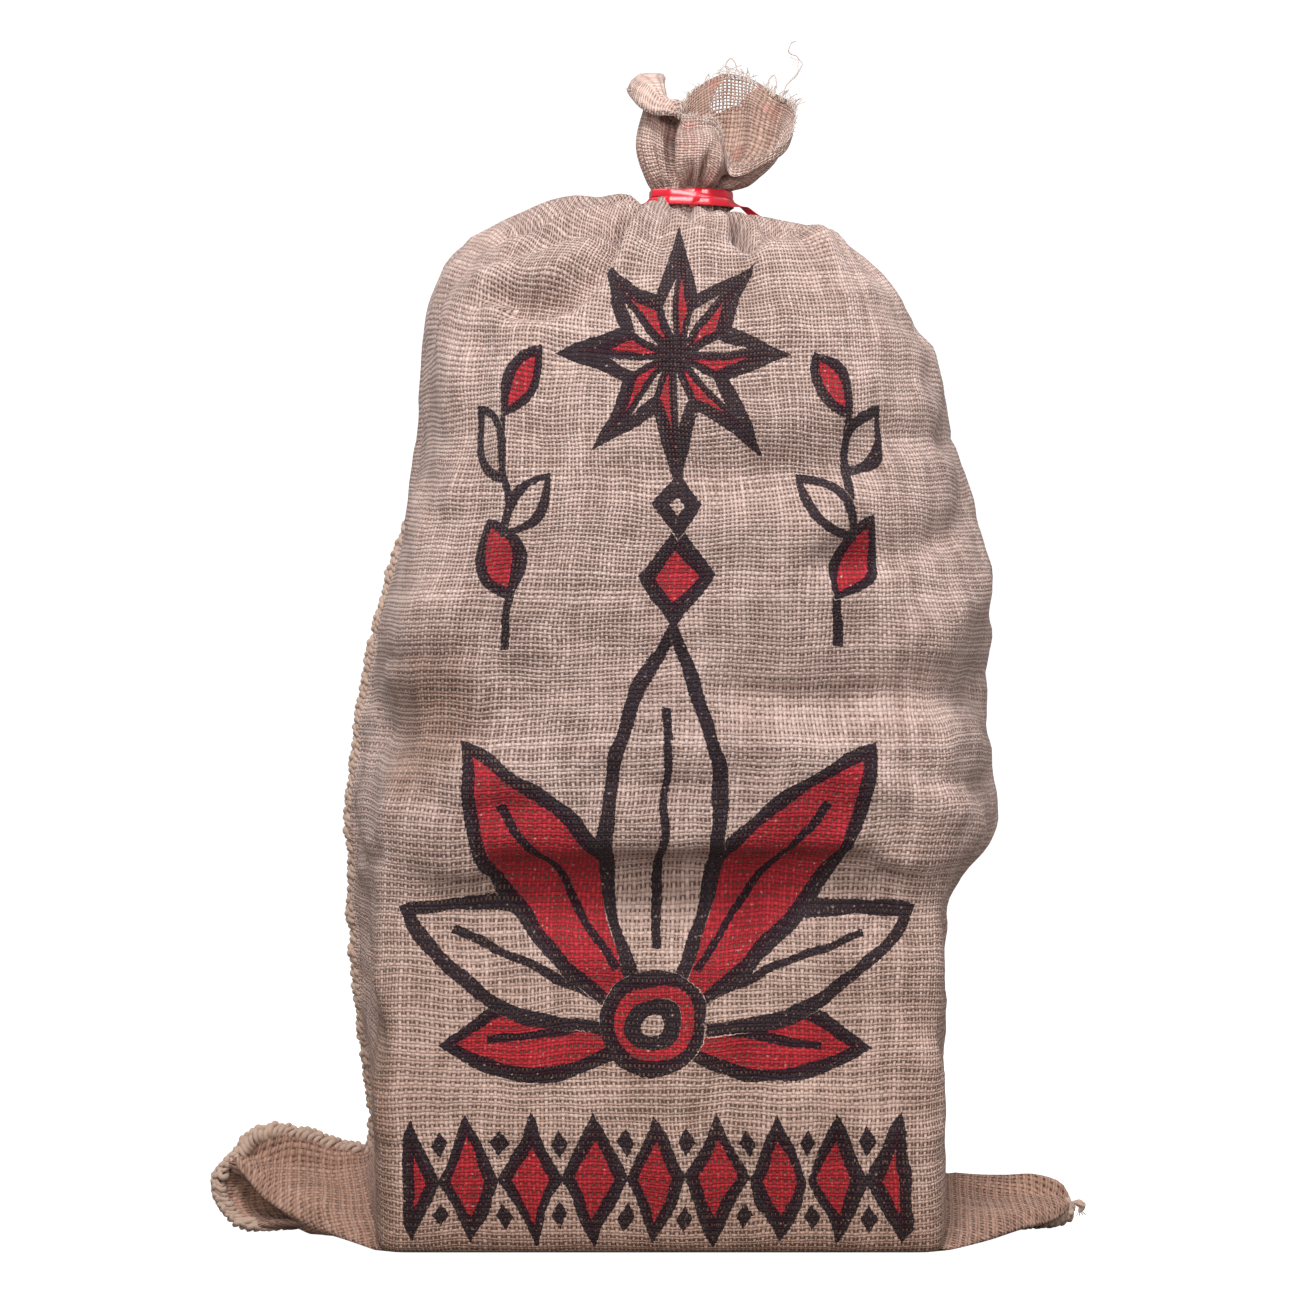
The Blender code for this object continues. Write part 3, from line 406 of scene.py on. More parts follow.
# The long waves of the filled cloth, and its finer cockling: size of a bump, and its height.
WAVES = table(
    "height times_round per_metre start",
    (0.0012, 3, 9, 1.0),
    (0.0010, 5, -17, 2.2),
    (0.0008, 7, 31, 0.4),
)
WAVES_FADE = 0.07
COCKLES = ((0.034, 0.0011), (0.015, 0.0006))
MAP_STEPS = 300  # grid steps, each way, of the map that the cockles are read from

# How much of the cloth's width the weave's map counts, where the rest is lost in the gathers.
GATHERED = table(
    "up share",
    (0.790, 1.00),
    (0.840, 0.62),
    (0.884, 0.34),
    (1.000, 0.34),
)
SEAM_STAND = 0.0055  # how far the thick overedge seam stands out of the sewn edge
SEAM_STARTS = 0.03  # it reaches that this far from the tip of the ear
SEAM_FADE = 0.1  # and is drawn in over this much cloth past the shoulder
SEAM_HALF = 0.012  # how wide its foot is, each way
MERGE = 0.00001


def curve(rows, column, places):
    """Read a column of a table at any places, on a smooth curve through its rows."""
    key = next(iter(rows))
    knots, values = rows[key], rows[column]
    places = np.clip(places, knots[0], knots[-1])
    slopes = np.gradient(values, knots, axis=0)
    low = np.clip(np.searchsorted(knots, places, side="right") - 1, 0, len(knots) - 2)
    width = knots[low + 1] - knots[low]
    t = (places - knots[low]) / width
    return (
        values[low] * (1 + 2 * t) * (1 - t) ** 2
        + slopes[low] * width * t * (1 - t) ** 2
        + values[low + 1] * t**2 * (3 - 2 * t)
        + slopes[low + 1] * width * t**2 * (t - 1)
    )


def point(rows, places):
    """Read the x, y and z columns of a table together."""
    return np.stack([curve(rows, axis, places) for axis in "xyz"], axis=-1)


def between(a, b, share):
    """Go from a to b, row by row of points, as share goes from 0 to 1."""
    share = np.asarray(share, float)[..., None]
    return a * (1 - share) + b * share


def ring_places(up):
    """Space one ring's points round the cloth, closer together where the ears run to a tip."""
    corner = min(up, EAR) * CORNER / EAR
    side = np.linspace(0, corner, SIDE_STEPS, endpoint=False)
    face = np.linspace(corner, HALF - corner, FACE_STEPS, endpoint=False)
    far_side = np.linspace(HALF - corner, HALF, SIDE_STEPS, endpoint=False)
    half = np.concatenate([side, face, far_side])
    return np.concatenate([half, half + HALF])


def body_corners(up):
    """Give the four corners of the body at one height of the cloth: front left and right, rear."""
    z, left, right, front, rear = (
        float(curve(BODY, name, up)) for name in ("z", "left", "right", "front", "rear")
    )
    return (
        np.array([left, front, z]),
        np.array([right, front, z]),
        np.array([left, rear, z]),
        np.array([right, rear, z]),
    )


def ear_half_ring(up, away, left_fold, right_fold, corners):
    """Run from the left ear over the underside to the right ear, at one height below the body.

    Each ear's top goes from its ridge down to its folded edge. The underside then goes from the
    folded edges, or from the body's edge between them, to the bottom seam.
    """
    left_tip, right_tip = point(SEWN_EDGE, up), point(FOLDED_EDGE, up)
    top_share = np.linspace(0, 1, SIDE_STEPS, endpoint=False)
    left_top = between(left_tip, point(left_fold, up), top_share)
    right_top = between(point(right_fold, up), right_tip, top_share)
    to_left = away
    to_right = HALF - away
    seam = np.where(
        (to_left < HALF / 2)[:, None], point(LEFT_SEAM, to_left), point(RIGHT_SEAM, to_right)
    )
    flat_from = LEFT_SEAM["across"][-1]
    middle = (to_left > flat_from) & (to_right > flat_from)
    run = np.clip((to_left - flat_from) / (HALF - 2 * flat_from), 0, 1)
    straight = between(point(LEFT_SEAM, flat_from), point(RIGHT_SEAM, flat_from), run)
    seam = np.where(middle[:, None], straight, seam)
    body_run = np.clip((to_left - CORNER) / (HALF - 2 * CORNER), 0, 1)
    edge = between(corners[0], corners[1], body_run)
    ear_left = np.minimum(to_left * EAR / CORNER, EAR)
    ear_right = np.minimum(to_right * EAR / CORNER, EAR)
    edge = np.where((to_left < CORNER)[:, None], point(left_fold, ear_left), edge)
    edge = np.where((to_right < CORNER)[:, None], point(right_fold, ear_right), edge)
    reach = np.minimum(np.minimum(ear_left, ear_right), EAR)
    under = between(seam, edge, np.clip(up / np.maximum(reach, MERGE), 0, 1))
    return np.concatenate([left_top, under, right_top])


def low_ring(up):
    """Make one ring of the ears and the underside, the front half and then the rear half."""
    corner = up * CORNER / EAR
    away = np.linspace(corner, HALF - corner, FACE_STEPS, endpoint=False)
    front_left, front_right, rear_left, rear_right = body_corners(EAR)
    front = ear_half_ring(up, away, LEFT_EAR_FRONT, RIGHT_EAR_FRONT, (front_left, front_right))
    rear = ear_half_ring(up, away, LEFT_EAR_REAR, RIGHT_EAR_REAR, (rear_left, rear_right))
    ridge = point(FOLDED_EDGE, up)[None]
    return np.concatenate([front, ridge, rear[:0:-1]])


def soften(ring, steps):
    """Turn a ring's sharp corners softly, over about this many grid steps each way."""
    count = len(ring)
    away = np.minimum(np.arange(count), count - np.arange(count))
    weight = np.exp(-0.5 * (away / steps) ** 2)
    weight /= weight.sum()
    spread = np.fft.rfft(weight)[:, None]
    return np.fft.irfft(np.fft.rfft(ring, axis=0) * spread, n=count, axis=0)


def wall_ring(up):
    """Make one ring of the body's walls."""
    front_left, front_right, rear_left, rear_right = body_corners(up)
    left, right = point(SEWN_EDGE, up), point(FOLDED_EDGE, up)
    side = np.linspace(0, 1, SIDE_STEPS, endpoint=False)
    face = np.linspace(0, 1, FACE_STEPS, endpoint=False)
    crown = 1 - (2 * face - 1) ** 2
    front = between(front_left, front_right, face)
    front[:, 1] -= crown * float(curve(BODY, "front_crown", up))
    rear = between(rear_right, rear_left, face)
    rear[:, 1] += crown * float(curve(BODY, "rear_crown", up))
    sharp = [
        between(left, front_left, side),
        front,
        between(front_right, right, side),
        between(right, rear_right, side),
        rear,
        between(rear_left, left, side),
    ]
    return soften(np.concatenate(sharp), TURN_STEPS * float(curve(BODY, "softness", up)))


def directions(across):
    """Give the direction in which each place on the cloth leaves the neck, in degrees."""
    return (180 + 180 * across / HALF) % 360


def on_neck(across, reach, z):
    """Give places round the neck at these reaches and heights."""
    angle = np.radians(directions(across))
    x = NECK_X + reach * np.cos(angle)
    y = reach * np.sin(angle)
    return np.stack(np.broadcast_arrays(x, y, z), axis=-1)


def top_rings(last_wall, ups):
    """Turn the last wall ring in to the neck, each place along its own rounded shoulder."""
    across = ring_places(TALL)
    neck = on_neck(across, NECK_REACH, NECK_LOW)
    square = curve(TOP, "square", directions(across))
    turn = np.linspace(0, math.pi / 2, SHOULDER_STEPS)[:, None]
    inward = np.clip(np.cos(turn), 0, 1) ** (2 / square)
    upward = np.clip(np.sin(turn), 0, 1) ** (2 / square)
    path = np.empty((len(turn), len(across), 3))
    path[..., :2] = neck[:, :2] + (last_wall - neck)[:, :2] * inward[..., None]
    path[..., 2] = last_wall[:, 2] + (neck - last_wall)[:, 2] * upward
    steps = np.linalg.norm(np.diff(path, axis=0), axis=-1)
    run = np.concatenate([np.zeros((1, len(across))), np.cumsum(steps, axis=0)])
    run /= run[-1]
    share = (np.array(ups) - SHOULDER_UP) / (NECK_UP - SHOULDER_UP)
    rings = np.empty((len(ups), len(across), 3))
    for place in range(len(across)):
        for axis in range(3):
            rings[:, place, axis] = np.interp(share, run[:, place], path[:, place, axis])
    return rings


def ruff_ring(up):
    """Make one ring of the open ruff, from the tie to the cloth's mouth."""
    across = ring_places(TALL)
    belly, throat, top, height, lip, drop = (
        curve(RUFF, name, directions(across))
        for name in ("belly", "throat", "top", "height", "lip", "drop")
    )
    # Each place's profile: out of the tie, over the belly and the throat, and over the lip.
    none = np.zeros_like(belly)
    low_reach = 0.42 * belly + 0.58 * NECK_REACH
    plain = RIM * np.clip(1 - lip / 0.005, 0, 1)
    profile = {
        "stop": np.array([0.0, 0.12, 0.38, 0.68, CREST, 0.94, 1.0]),
        "out": np.array(
            [none + NECK_REACH, low_reach, belly, throat, top, top + 0.62 * lip, top + lip]
        ),
        "high": np.array(
            [
                none,
                0.1 * height,
                0.38 * height,
                0.74 * height,
                height - plain,
                height - 0.4 * plain - 0.1 * drop,
                height - drop,
            ]
        ),
    }
    share = (up - RUFF_UP) / (TALL - RUFF_UP)
    reach, rise = curve(profile, "out", share), curve(profile, "high", share)
    return on_neck(across, reach, NECK_HIGH + rise)


def outward(rings):
    """Give each point's direction out of the cloth."""
    round_ring = np.roll(rings, -1, axis=1) - np.roll(rings, 1, axis=1)
    up_cloth = np.gradient(rings, axis=0)
    normal = np.cross(round_ring, up_cloth)
    length = np.linalg.norm(normal, axis=-1, keepdims=True)
    return normal / np.maximum(length, MERGE**2)


def crease_depth(creases, across, up):
    """Add up how far the creases push each place in."""
    total = np.zeros_like(across)
    for a0, u0, a1, u1, a2, u2, depth, above, below in zip(*creases.values(), strict=True):
        t = np.linspace(0, 1, BEND_STEPS + 1)
        line_a = a0 * (1 - t) ** 2 + (4 * a1 - a0 - a2) * t * (1 - t) + a2 * t**2
        line_u = u0 * (1 - t) ** 2 + (4 * u1 - u0 - u2) * t * (1 - t) + u2 * t**2
        nearest = np.full_like(across, np.inf)
        side = np.zeros_like(across)
        for a, u, to_a, to_u in zip(line_a, line_u, line_a[1:], line_u[1:], strict=False):
            run_a, run_u = to_a - a, to_u - u
            away_a = (across - a + HALF) % ROUND - HALF
            away_u = up - u
            length = math.hypot(run_a, run_u)
            along = np.clip((away_a * run_a + away_u * run_u) / length, 0, length)
            off_a = away_a - along * run_a / length
            off_u = away_u - along * run_u / length
            away = np.hypot(off_a, off_u)
            lean = (away_u * run_a - away_a * run_u) * (1 if a2 >= a0 else -1)
            side = np.where(away < nearest, lean, side)
            nearest = np.minimum(away, nearest)
        width = np.where(side > 0, above, below)
        total += depth * np.exp(-((nearest / width) ** 2))
    return total


def ruff_depth(across, up):
    """Add up how far the ruff's folds push each place in, dying away to the tie and at their tops."""
    total = np.zeros_like(across)
    rise = (up - RUFF_UP) / (TALL - RUFF_UP)
    for low, high, wide, depth, top in zip(*RUFF_FOLDS.values(), strict=True):
        line = low + (high - low) * np.clip(rise, 0, 1)
        off = (across - line + HALF) % ROUND - HALF
        spread = wide * (FOLDS_SPREAD[0] + FOLDS_SPREAD[1] * np.clip(rise, 0, 1))
        fade = np.clip(FOLDS_RISE[0] + FOLDS_RISE[1] * rise, 0, 1)
        fade = fade * np.clip((top - up) / FOLDS_FADE, 0, 1)
        total += depth * fade * (rise > -0.02) * np.exp(-((off / spread) ** 2))
    return total


def ear_depth(across, up):
    """Hollow the curled corner under each ear's front edge, and groove and roll the ear's top."""
    total = np.zeros_like(across)
    for to_side, deep in ((across, 1.0), (HALF - across, RIGHT_EAR_SHARE)):
        edge = np.maximum(to_side * EAR / CORNER, MERGE)
        inside = np.clip(up / edge, 0, 1)
        window = np.clip(to_side / HOLLOW_START, 0, 1)
        window = window * np.clip((HOLLOW_END - to_side) / HOLLOW_FADE, 0, 1)
        hollow = np.sin(math.pi * inside) ** 1.5 * window * (to_side > 0)
        total += EAR_HOLLOW * deep * hollow * (up < edge)
        over = np.clip(to_side / np.maximum(up * CORNER / EAR, MERGE), 0, 1)
        on_top = (up >= edge) * (up < EAR) * (to_side > 0)
        on_top = on_top * np.clip((EAR - up) / BODY_FADE, 0, 1) * np.clip(up / TIP_FADE, 0, 1)
        for high, at, wide in EAR_ROLLS:
            total += high * deep * on_top * np.exp(-(((over - at) / wide) ** 2))
    return total


def pleats(across, up):
    """Give the depth of the small pleats at the neck, which die away above and below the tie."""
    above = np.clip((up - RUFF_UP) / PLEATS_ABOVE, 0, 1)
    below = np.clip((NECK_UP - up) / PLEATS_BELOW, 0, 1)
    turn = 2 * math.pi * across / ROUND
    total = np.zeros_like(across)
    for times_round, depth, start in zip(*PLEATS.values(), strict=True):
        total += depth * np.cos(times_round * turn + start + PLEAT_DRIFT * np.sin(3 * turn + start))
    return (total - PLEATS_IN) * ((1 - above) * (1 - below)) ** 1.5


def cockles(across, up):
    """Uneven small bumps all over the cloth, the same in each run."""
    draws = np.random.default_rng(7)
    waves = np.fft.fftfreq(MAP_STEPS, ROUND / MAP_STEPS)
    pace = np.hypot(waves[:, None], waves[None, :])
    column = across / ROUND * MAP_STEPS % MAP_STEPS
    row = up / ROUND * MAP_STEPS
    low_column, low_row = column.astype(int) % MAP_STEPS, row.astype(int)
    right, over = column - column.astype(int), row - low_row
    next_column = (low_column + 1) % MAP_STEPS
    total = np.zeros_like(across)
    for size, height in COCKLES:
        drawn = np.fft.fft2(draws.normal(size=(MAP_STEPS, MAP_STEPS)))
        smooth = np.fft.ifft2(drawn * np.exp(-2 * (pace * size) ** 2)).real
        smooth *= height / smooth.std()
        lower = smooth[low_row, low_column] * (1 - right) + smooth[low_row, next_column] * right
        upper = smooth[low_row + 1, low_column] * (1 - right)
        upper = upper + smooth[low_row + 1, next_column] * right
        total += lower * (1 - over) + upper * over
    return total


def waves(across, up):
    """Keep the filled body from looking pressed: a few long waves and the cloth's own cockles."""
    turn = 2 * math.pi * across / ROUND
    total = cockles(across, up)
    for height, times_round, per_metre, start in zip(*WAVES.values(), strict=True):
        total += height * np.sin(times_round * turn + per_metre * up + start)
    from_floor = np.clip((up - EAR) / WAVES_FADE - 0.5, 0, 1)
    return total * from_floor * np.clip((NECK_UP - up) / WAVES_FADE, 0, 1)


def lay_cloth():
    """Work out the whole cloth as rings of points, from the bottom seam to the mouth."""
    ups = np.concatenate(
        [np.linspace(low, high, rows, endpoint=False) for low, high, rows in STRETCHES] + [[TALL]]
    )
    lows = ups[ups < EAR]
    walls = ups[(ups >= EAR) & (ups < SHOULDER_UP)]
    tops = ups[(ups >= SHOULDER_UP) & (ups < RUFF_UP)]
    ruffs = ups[ups >= RUFF_UP]
    shoulder = wall_ring(SHOULDER_UP)
    neck = np.clip((tops - NECK_UP) / (RUFF_UP - NECK_UP), 0, 1)
    over_top = top_rings(shoulder, np.minimum(tops, NECK_UP))
    over_top[..., 2] += (neck * (NECK_HIGH - NECK_LOW))[:, None]
    rings = np.array(
        [*map(low_ring, lows), *map(wall_ring, walls), *over_top, *map(ruff_ring, ruffs)]
    )
    across = np.array([ring_places(up) for up in ups])
    heights = np.broadcast_to(ups[:, None], across.shape)
    push = -crease_depth(CREASES, across, heights) - crease_depth(TOP_CREASES, across, heights)
    push *= np.clip(np.minimum(NECK_UP - heights, heights - EAR) / CREASES_FADE, 0, 1)
    push += pleats(across, heights) + waves(across, heights)
    push -= ruff_depth(across, heights) + ear_depth(across, heights)
    to_seam = np.minimum(across, ROUND - across)
    stand = np.clip(ups / SEAM_STARTS, 0, 1) * np.clip((SHOULDER_UP - ups) / SEAM_FADE + 1, 0, 1)
    push += SEAM_STAND * stand[:, None] * np.clip(1 - to_seam / SEAM_HALF, 0, 1)
    rings = rings + outward(rings) * push[..., None]
    rings[..., 2] = np.maximum(rings[..., 2], 0)
    return {"rings": rings, "outs": outward(rings), "across": across, "ups": ups}


def on_cloth(across, up, stand=0.0):
    """Find the point that stands this far out from a place on the cloth, and the way out there."""
    ups = cloth["ups"]
    low = int(np.clip(np.searchsorted(ups, up, side="right") - 1, 0, len(ups) - 2))
    share = (up - ups[low]) / (ups[low + 1] - ups[low])
    found = []
    for grid in (cloth["rings"], cloth["outs"]):
        pair = []
        for row in (low, low + 1):
            knots = np.append(cloth["across"][row], ROUND)
            values = np.concatenate([grid[row], grid[row, :1]])
            pair.append([np.interp(across % ROUND, knots, values[:, axis]) for axis in range(3)])
        found.append(np.array(pair[0]) * (1 - share) + np.array(pair[1]) * share)
    way_out = found[1] / np.linalg.norm(found[1])
    return found[0] + way_out * stand, way_out


def on_map(across, up, front):
    """Draw the weave's map together where the cloth is gathered, towards the middle of its half."""
    middle = HALF / 2 if front else HALF * 1.5
    return middle + (across - middle) * float(np.interp(up, GATHERED["up"], GATHERED["share"]))


def weave_sack():
    """Lay a flat grid along the rings, join it along its seams and give it the cloth's thickness.

    Its UV map holds each place on the flat cloth, drawn together where the cloth is gathered.
    """
    rows, columns = cloth["across"].shape
    net = bmesh.new()
    flat = net.loops.layers.uv.new("UVMap")
    bmesh.ops.create_grid(net, x_segments=columns, y_segments=rows - 1, size=0.5, calc_uvs=True)
    net.verts.ensure_lookup_table()
    place = {}
    for index, vert in enumerate(net.verts):
        row, column = divmod(index, columns + 1)
        vert.co = cloth["rings"][row, column % columns]
        across = ROUND if column == columns else cloth["across"][row, column]
        place[vert] = (across, cloth["ups"][row])
    for face in net.faces:
        face.smooth = True
        front = sum(place[vert][0] for vert in face.verts) / len(face.verts) < HALF
        for loop in face.loops:
            across, up = place[loop.vert]
            loop[flat].uv = (on_map(across, up, front), up)
    bmesh.ops.remove_doubles(net, verts=net.verts, dist=MERGE)
    bmesh.ops.dissolve_degenerate(net, edges=net.edges, dist=MERGE)
    net.verts.index_update()
    thin = {vert.index: float(np.interp(place[vert][1], *THIN_RUFF)) for vert in net.verts}
    made = as_piece("sack_cloth_woven", net)
    thickness = made.vertex_groups.new(name="thickness")
    for vert, share in thin.items():
        thickness.add([vert], share, "REPLACE")
    wall = made.modifiers.new("cloth thickness", "SOLIDIFY")
    wall.vertex_group = thickness.name
    wall.thickness = THICK
    wall.offset = -1
    return made


def as_piece(name, net):
    """Turn a finished bmesh into an object that rides with the sack."""
    data = bpy.data.meshes.new(name)
    net.to_mesh(data)
    net.free()
    made = bpy.data.objects.new(name, data)
    bpy.context.scene.collection.objects.link(made)
    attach(made, "root")
    return made


# The cloth's finish is a plain weave of uneven jute yarn. Its weft yarns lie in pairs, with a row of
# open holes between one pair and the next.
WARP_PITCH = 0.0029
PAIR_PITCH = 0.0057
PAIRED, UNPAIRED = 0.172, 0.25  # how far a weft yarn lies from its pair's middle, over the pitch
WARP_HALF, WEFT_HALF = 0.00098, 0.00096
YARN_UNEVEN = 0.75  # how much a yarn swells along its length
YARN_APART = 0.30  # and how much one yarn differs from the next
SWELLS = 75.0  # a yarn's swellings, per metre
NEXT_YARN = 3.71  # how far off the next yarn's swellings are read, so that none are alike
CROWN, CROWN_LIFT = 0.65, 0.35  # how high a yarn stands halfway, and how far it rises and dips
HOLE_BELOW = 1 / 4.0  # a place lower than this is in a hole
TONE_APART, TONE_ALONG = 0.45, 0.65  # how a yarn's tone goes with its own draw, and with its swellings
YARNS_DRIFT = ((14.0, 0.012), (60.0, 0.0022))  # how the yarns wander: the scale of it, and how far


class Value:
    """A number that a shader works out, so that sums of such numbers are written as sums."""

    def __init__(self, tree, socket):
        self.tree, self.socket = tree, socket

    def to(self, operation, *others):
        """Put this number through a math node, with others after it."""
        return reckon(self.tree, operation, self, *others)

    def __add__(self, other):
        return self.to("ADD", other)

    def __sub__(self, other):
        return self.to("SUBTRACT", other)

    def __rsub__(self, other):
        return reckon(self.tree, "SUBTRACT", other, self)

    def __mul__(self, other):
        return self.to("MULTIPLY", other)

    def __truediv__(self, other):
        return self.to("DIVIDE", other)

    def __lt__(self, other):
        return self.to("LESS_THAN", other)

    def __gt__(self, other):
        return self.to("GREATER_THAN", other)

    def __abs__(self):
        return self.to("ABSOLUTE")


def wire(tree, node, inputs):
    """Wire or set a node's inputs, each by its name or its number."""
    for name, value in dict(inputs).items():
        if isinstance(value, Value):
            value = value.socket
        if isinstance(value, bpy.types.NodeSocket):
            tree.links.new(value, node.inputs[name])
        else:
            node.inputs[name].default_value = value


def add_node(tree, kind, inputs=(), **settings):
    """Add a shader node, set its settings, and wire or set its inputs."""
    made = tree.nodes.new("ShaderNode" + kind)
    for name, value in settings.items():
        setattr(made, name, value)
    wire(tree, made, inputs)
    return made


def reckon(tree, operation, *values):
    """Add a math node and give its result."""
    return Value(tree, add_node(tree, "Math", enumerate(values), operation=operation).outputs[0])


def least(value, other):
    """Give the smaller of two numbers, the first of them a shader's."""
    return value.to("MINIMUM", other)


def most(value, other):
    """Give the larger of two numbers, the first of them a shader's."""
    return value.to("MAXIMUM", other)


def ramp(value, start, end):
    """Rise from 0 to 1 as a number goes from its start to its end."""
    return Value(value.tree, add_node(value.tree, "MapRange", {0: value, 1: start, 2: end}).outputs[0])


def split(tree, place):
    """Give the first two parts of a place."""
    parts = add_node(tree, "SeparateXYZ", {0: place})
    return Value(tree, parts.outputs[0]), Value(tree, parts.outputs[1])


def new_material(name):
    """Start a material, and give its nodes and its shader too."""
    made = bpy.data.materials.new(name)
    made.use_nodes = True
    return made, made.node_tree, made.node_tree.nodes["Principled BSDF"]


def new_group(name, inputs, outputs):
    """Start a shader node group with these sockets."""
    group = bpy.data.node_groups.new(name, "ShaderNodeTree")
    for way, sockets in (("INPUT", inputs), ("OUTPUT", outputs)):
        for socket, kind in sockets.items():
            group.interface.new_socket(socket, in_out=way, socket_type="NodeSocket" + kind)
    given = group.nodes.new("NodeGroupInput")
    result = group.nodes.new("NodeGroupOutput")
    return group, given, result


def mix_colours(tree, share, first, second, blend_type="MIX"):
    """Mix two colours by a share."""
    inputs = {"Factor": share, 6: first, 7: second}
    return add_node(tree, "Mix", inputs, data_type="RGBA", blend_type=blend_type).outputs[2]


def noise(tree, place, scale, detail=2.0, roughness=0.5):
    """Add a noise texture and give its value."""
    inputs = {"Vector": place, "Scale": scale, "Detail": detail, "Roughness": roughness}
    return Value(tree, add_node(tree, "TexNoise", inputs).outputs["Fac"])


def shifted(tree, place, drifts):
    """Shift places about by smooth noises, each by its scale and by up to about how far."""
    for scale, far in drifts:
        drawn = add_node(tree, "TexNoise", {"Vector": place, "Scale": scale, "Detail": 1.0})
        halved = {0: drawn.outputs["Color"], 1: (0.5, 0.5, 0.5)}
        centred = add_node(tree, "VectorMath", halved, operation="SUBTRACT").outputs[0]
        small = add_node(tree, "VectorMath", {0: centred, "Scale": far}, operation="SCALE").outputs[0]
        place = add_node(tree, "VectorMath", {0: place, 1: small}, operation="ADD").outputs[0]
    return place


def off_middle(counted, aside):
    """How far a count lies from its step's middle, or from the nearer of two lines beside that."""
    return abs(abs(counted.to("FRACT") - 0.5) - aside)


def make_weave():
    """The plain weave: how high a place stands, how deep in a hole it is, and its yarn's tone."""
    group, given, result = new_group(
        "jute weave",
        {"Place": "Vector", "Openness": "Float", "Pairing": "Float"},
        {"Height": "Float", "Gap": "Float", "Tone": "Float"},
    )
    pairing = Value(group, given.outputs["Pairing"])
    u, v = split(group, shifted(group, given.outputs["Place"], YARNS_DRIFT))
    warp, pair = u / WARP_PITCH, v / PAIR_PITCH
    weft = pair * 2.0
    from_warp = off_middle(warp, 0.0) * WARP_PITCH
    from_weft = off_middle(pair, pairing) * PAIR_PITCH
    kinds = (
        ("warp", warp, weft, v, from_warp, WARP_HALF, CROWN_LIFT),
        ("weft", weft, warp, u, from_weft, WEFT_HALF, -CROWN_LIFT),
    )
    heights, tones = {}, {}
    for name, counted, other, run, away, half, lift in kinds:
        index = counted.to("FLOOR")
        drawn = add_node(group, "TexWhiteNoise", {"W": index}, noise_dimensions="1D")
        yarn = Value(group, drawn.outputs["Value"])
        along = add_node(group, "CombineXYZ", {0: index * NEXT_YARN, 1: run * SWELLS})
        uneven = noise(group, along.outputs[0], 1.0, 2.5, 0.6)
        swell = (uneven - 0.5) * (YARN_UNEVEN * 2) + (yarn * YARN_APART + (1 - YARN_APART / 2))
        off = away / ((swell - given.outputs["Openness"]) * half)
        rounded = most(1.0 - off * off, 0.0).to("SQRT")
        over = ((other + index) * math.pi).to("SINE")
        heights[name] = rounded * (over * lift + CROWN)
        tones[name] = yarn * TONE_APART + uneven * TONE_ALONG
    height = most(heights["warp"], heights["weft"])
    on_top = heights["warp"] > heights["weft"]
    tone = add_node(group, "Mix", {0: on_top, 2: tones["weft"], 3: tones["warp"]}).outputs[0]
    gap = most(1.0 - height / HOLE_BELOW, 0.0)
    wire(group, result, {"Height": height, "Gap": gap, "Tone": tone})
    return group


# The print on the front: a cut-paper star over a fan of leaves, with a sprig on each side and a row
# of lozenges below, in thick black lines with red fills. It is inked on the crests of the weave.
MIDDLE = 0.296  # across, the line that the print is mirrored in
LINE = 0.0050  # half the width of a black line
PRESSED = 1.1  # how unevenly it is pressed, over that
SPRIG_LINE, ROW_LINE = 0.75, 0.8  # and how wide it is on these, over that
STAR_UP, STAR_TIP, STAR_VALLEY = 0.704, 0.076, 0.037
SPOKE = 0.0026  # half the width of the lines that part the star's facets
FAN_UP = 0.262
LEAVES = table(
    "lean long wide red",
    (96, 0.138, 0.025, 1),
    (66, 0.184, 0.031, 0),
    (36, 0.226, 0.034, 1),
    (0, 0.262, 0.037, 0),
)
VEIN, VEIN_SHARE = 0.0028, 0.62  # half a vein's width, and how much of its leaf it runs along
KNOB, KNOB_EYE = 0.030, 0.012
SPRIG = table(
    "out up lean long wide red",
    (0.112, 0.545, 28, 0.055, 0.013, 1),
    (0.124, 0.585, -38, 0.050, 0.012, 0),
    (0.128, 0.625, 34, 0.052, 0.012, 0),
    (0.130, 0.665, -30, 0.046, 0.011, 1),
)
STEM_OUT, STEM_SWAY, STEM_BENDS, STEM = 0.121, 0.010, 21.0, 0.0032
STEM_UP, STEM_HALF = 0.592, 0.080
LINKS = ((0.560, 0.020, 0.026, 1), (0.606, 0.012, 0.015, 0))  # up, wide, high and whether red
ROW_UP, ROW_STEP, ROW_WIDE, ROW_HIGH, ROW_REACH = 0.158, 0.041, 0.0165, 0.034, 0.166
SPOT_OFF, SPOT_WIDE, SPOT_HIGH = 0.024, 0.006, 0.009


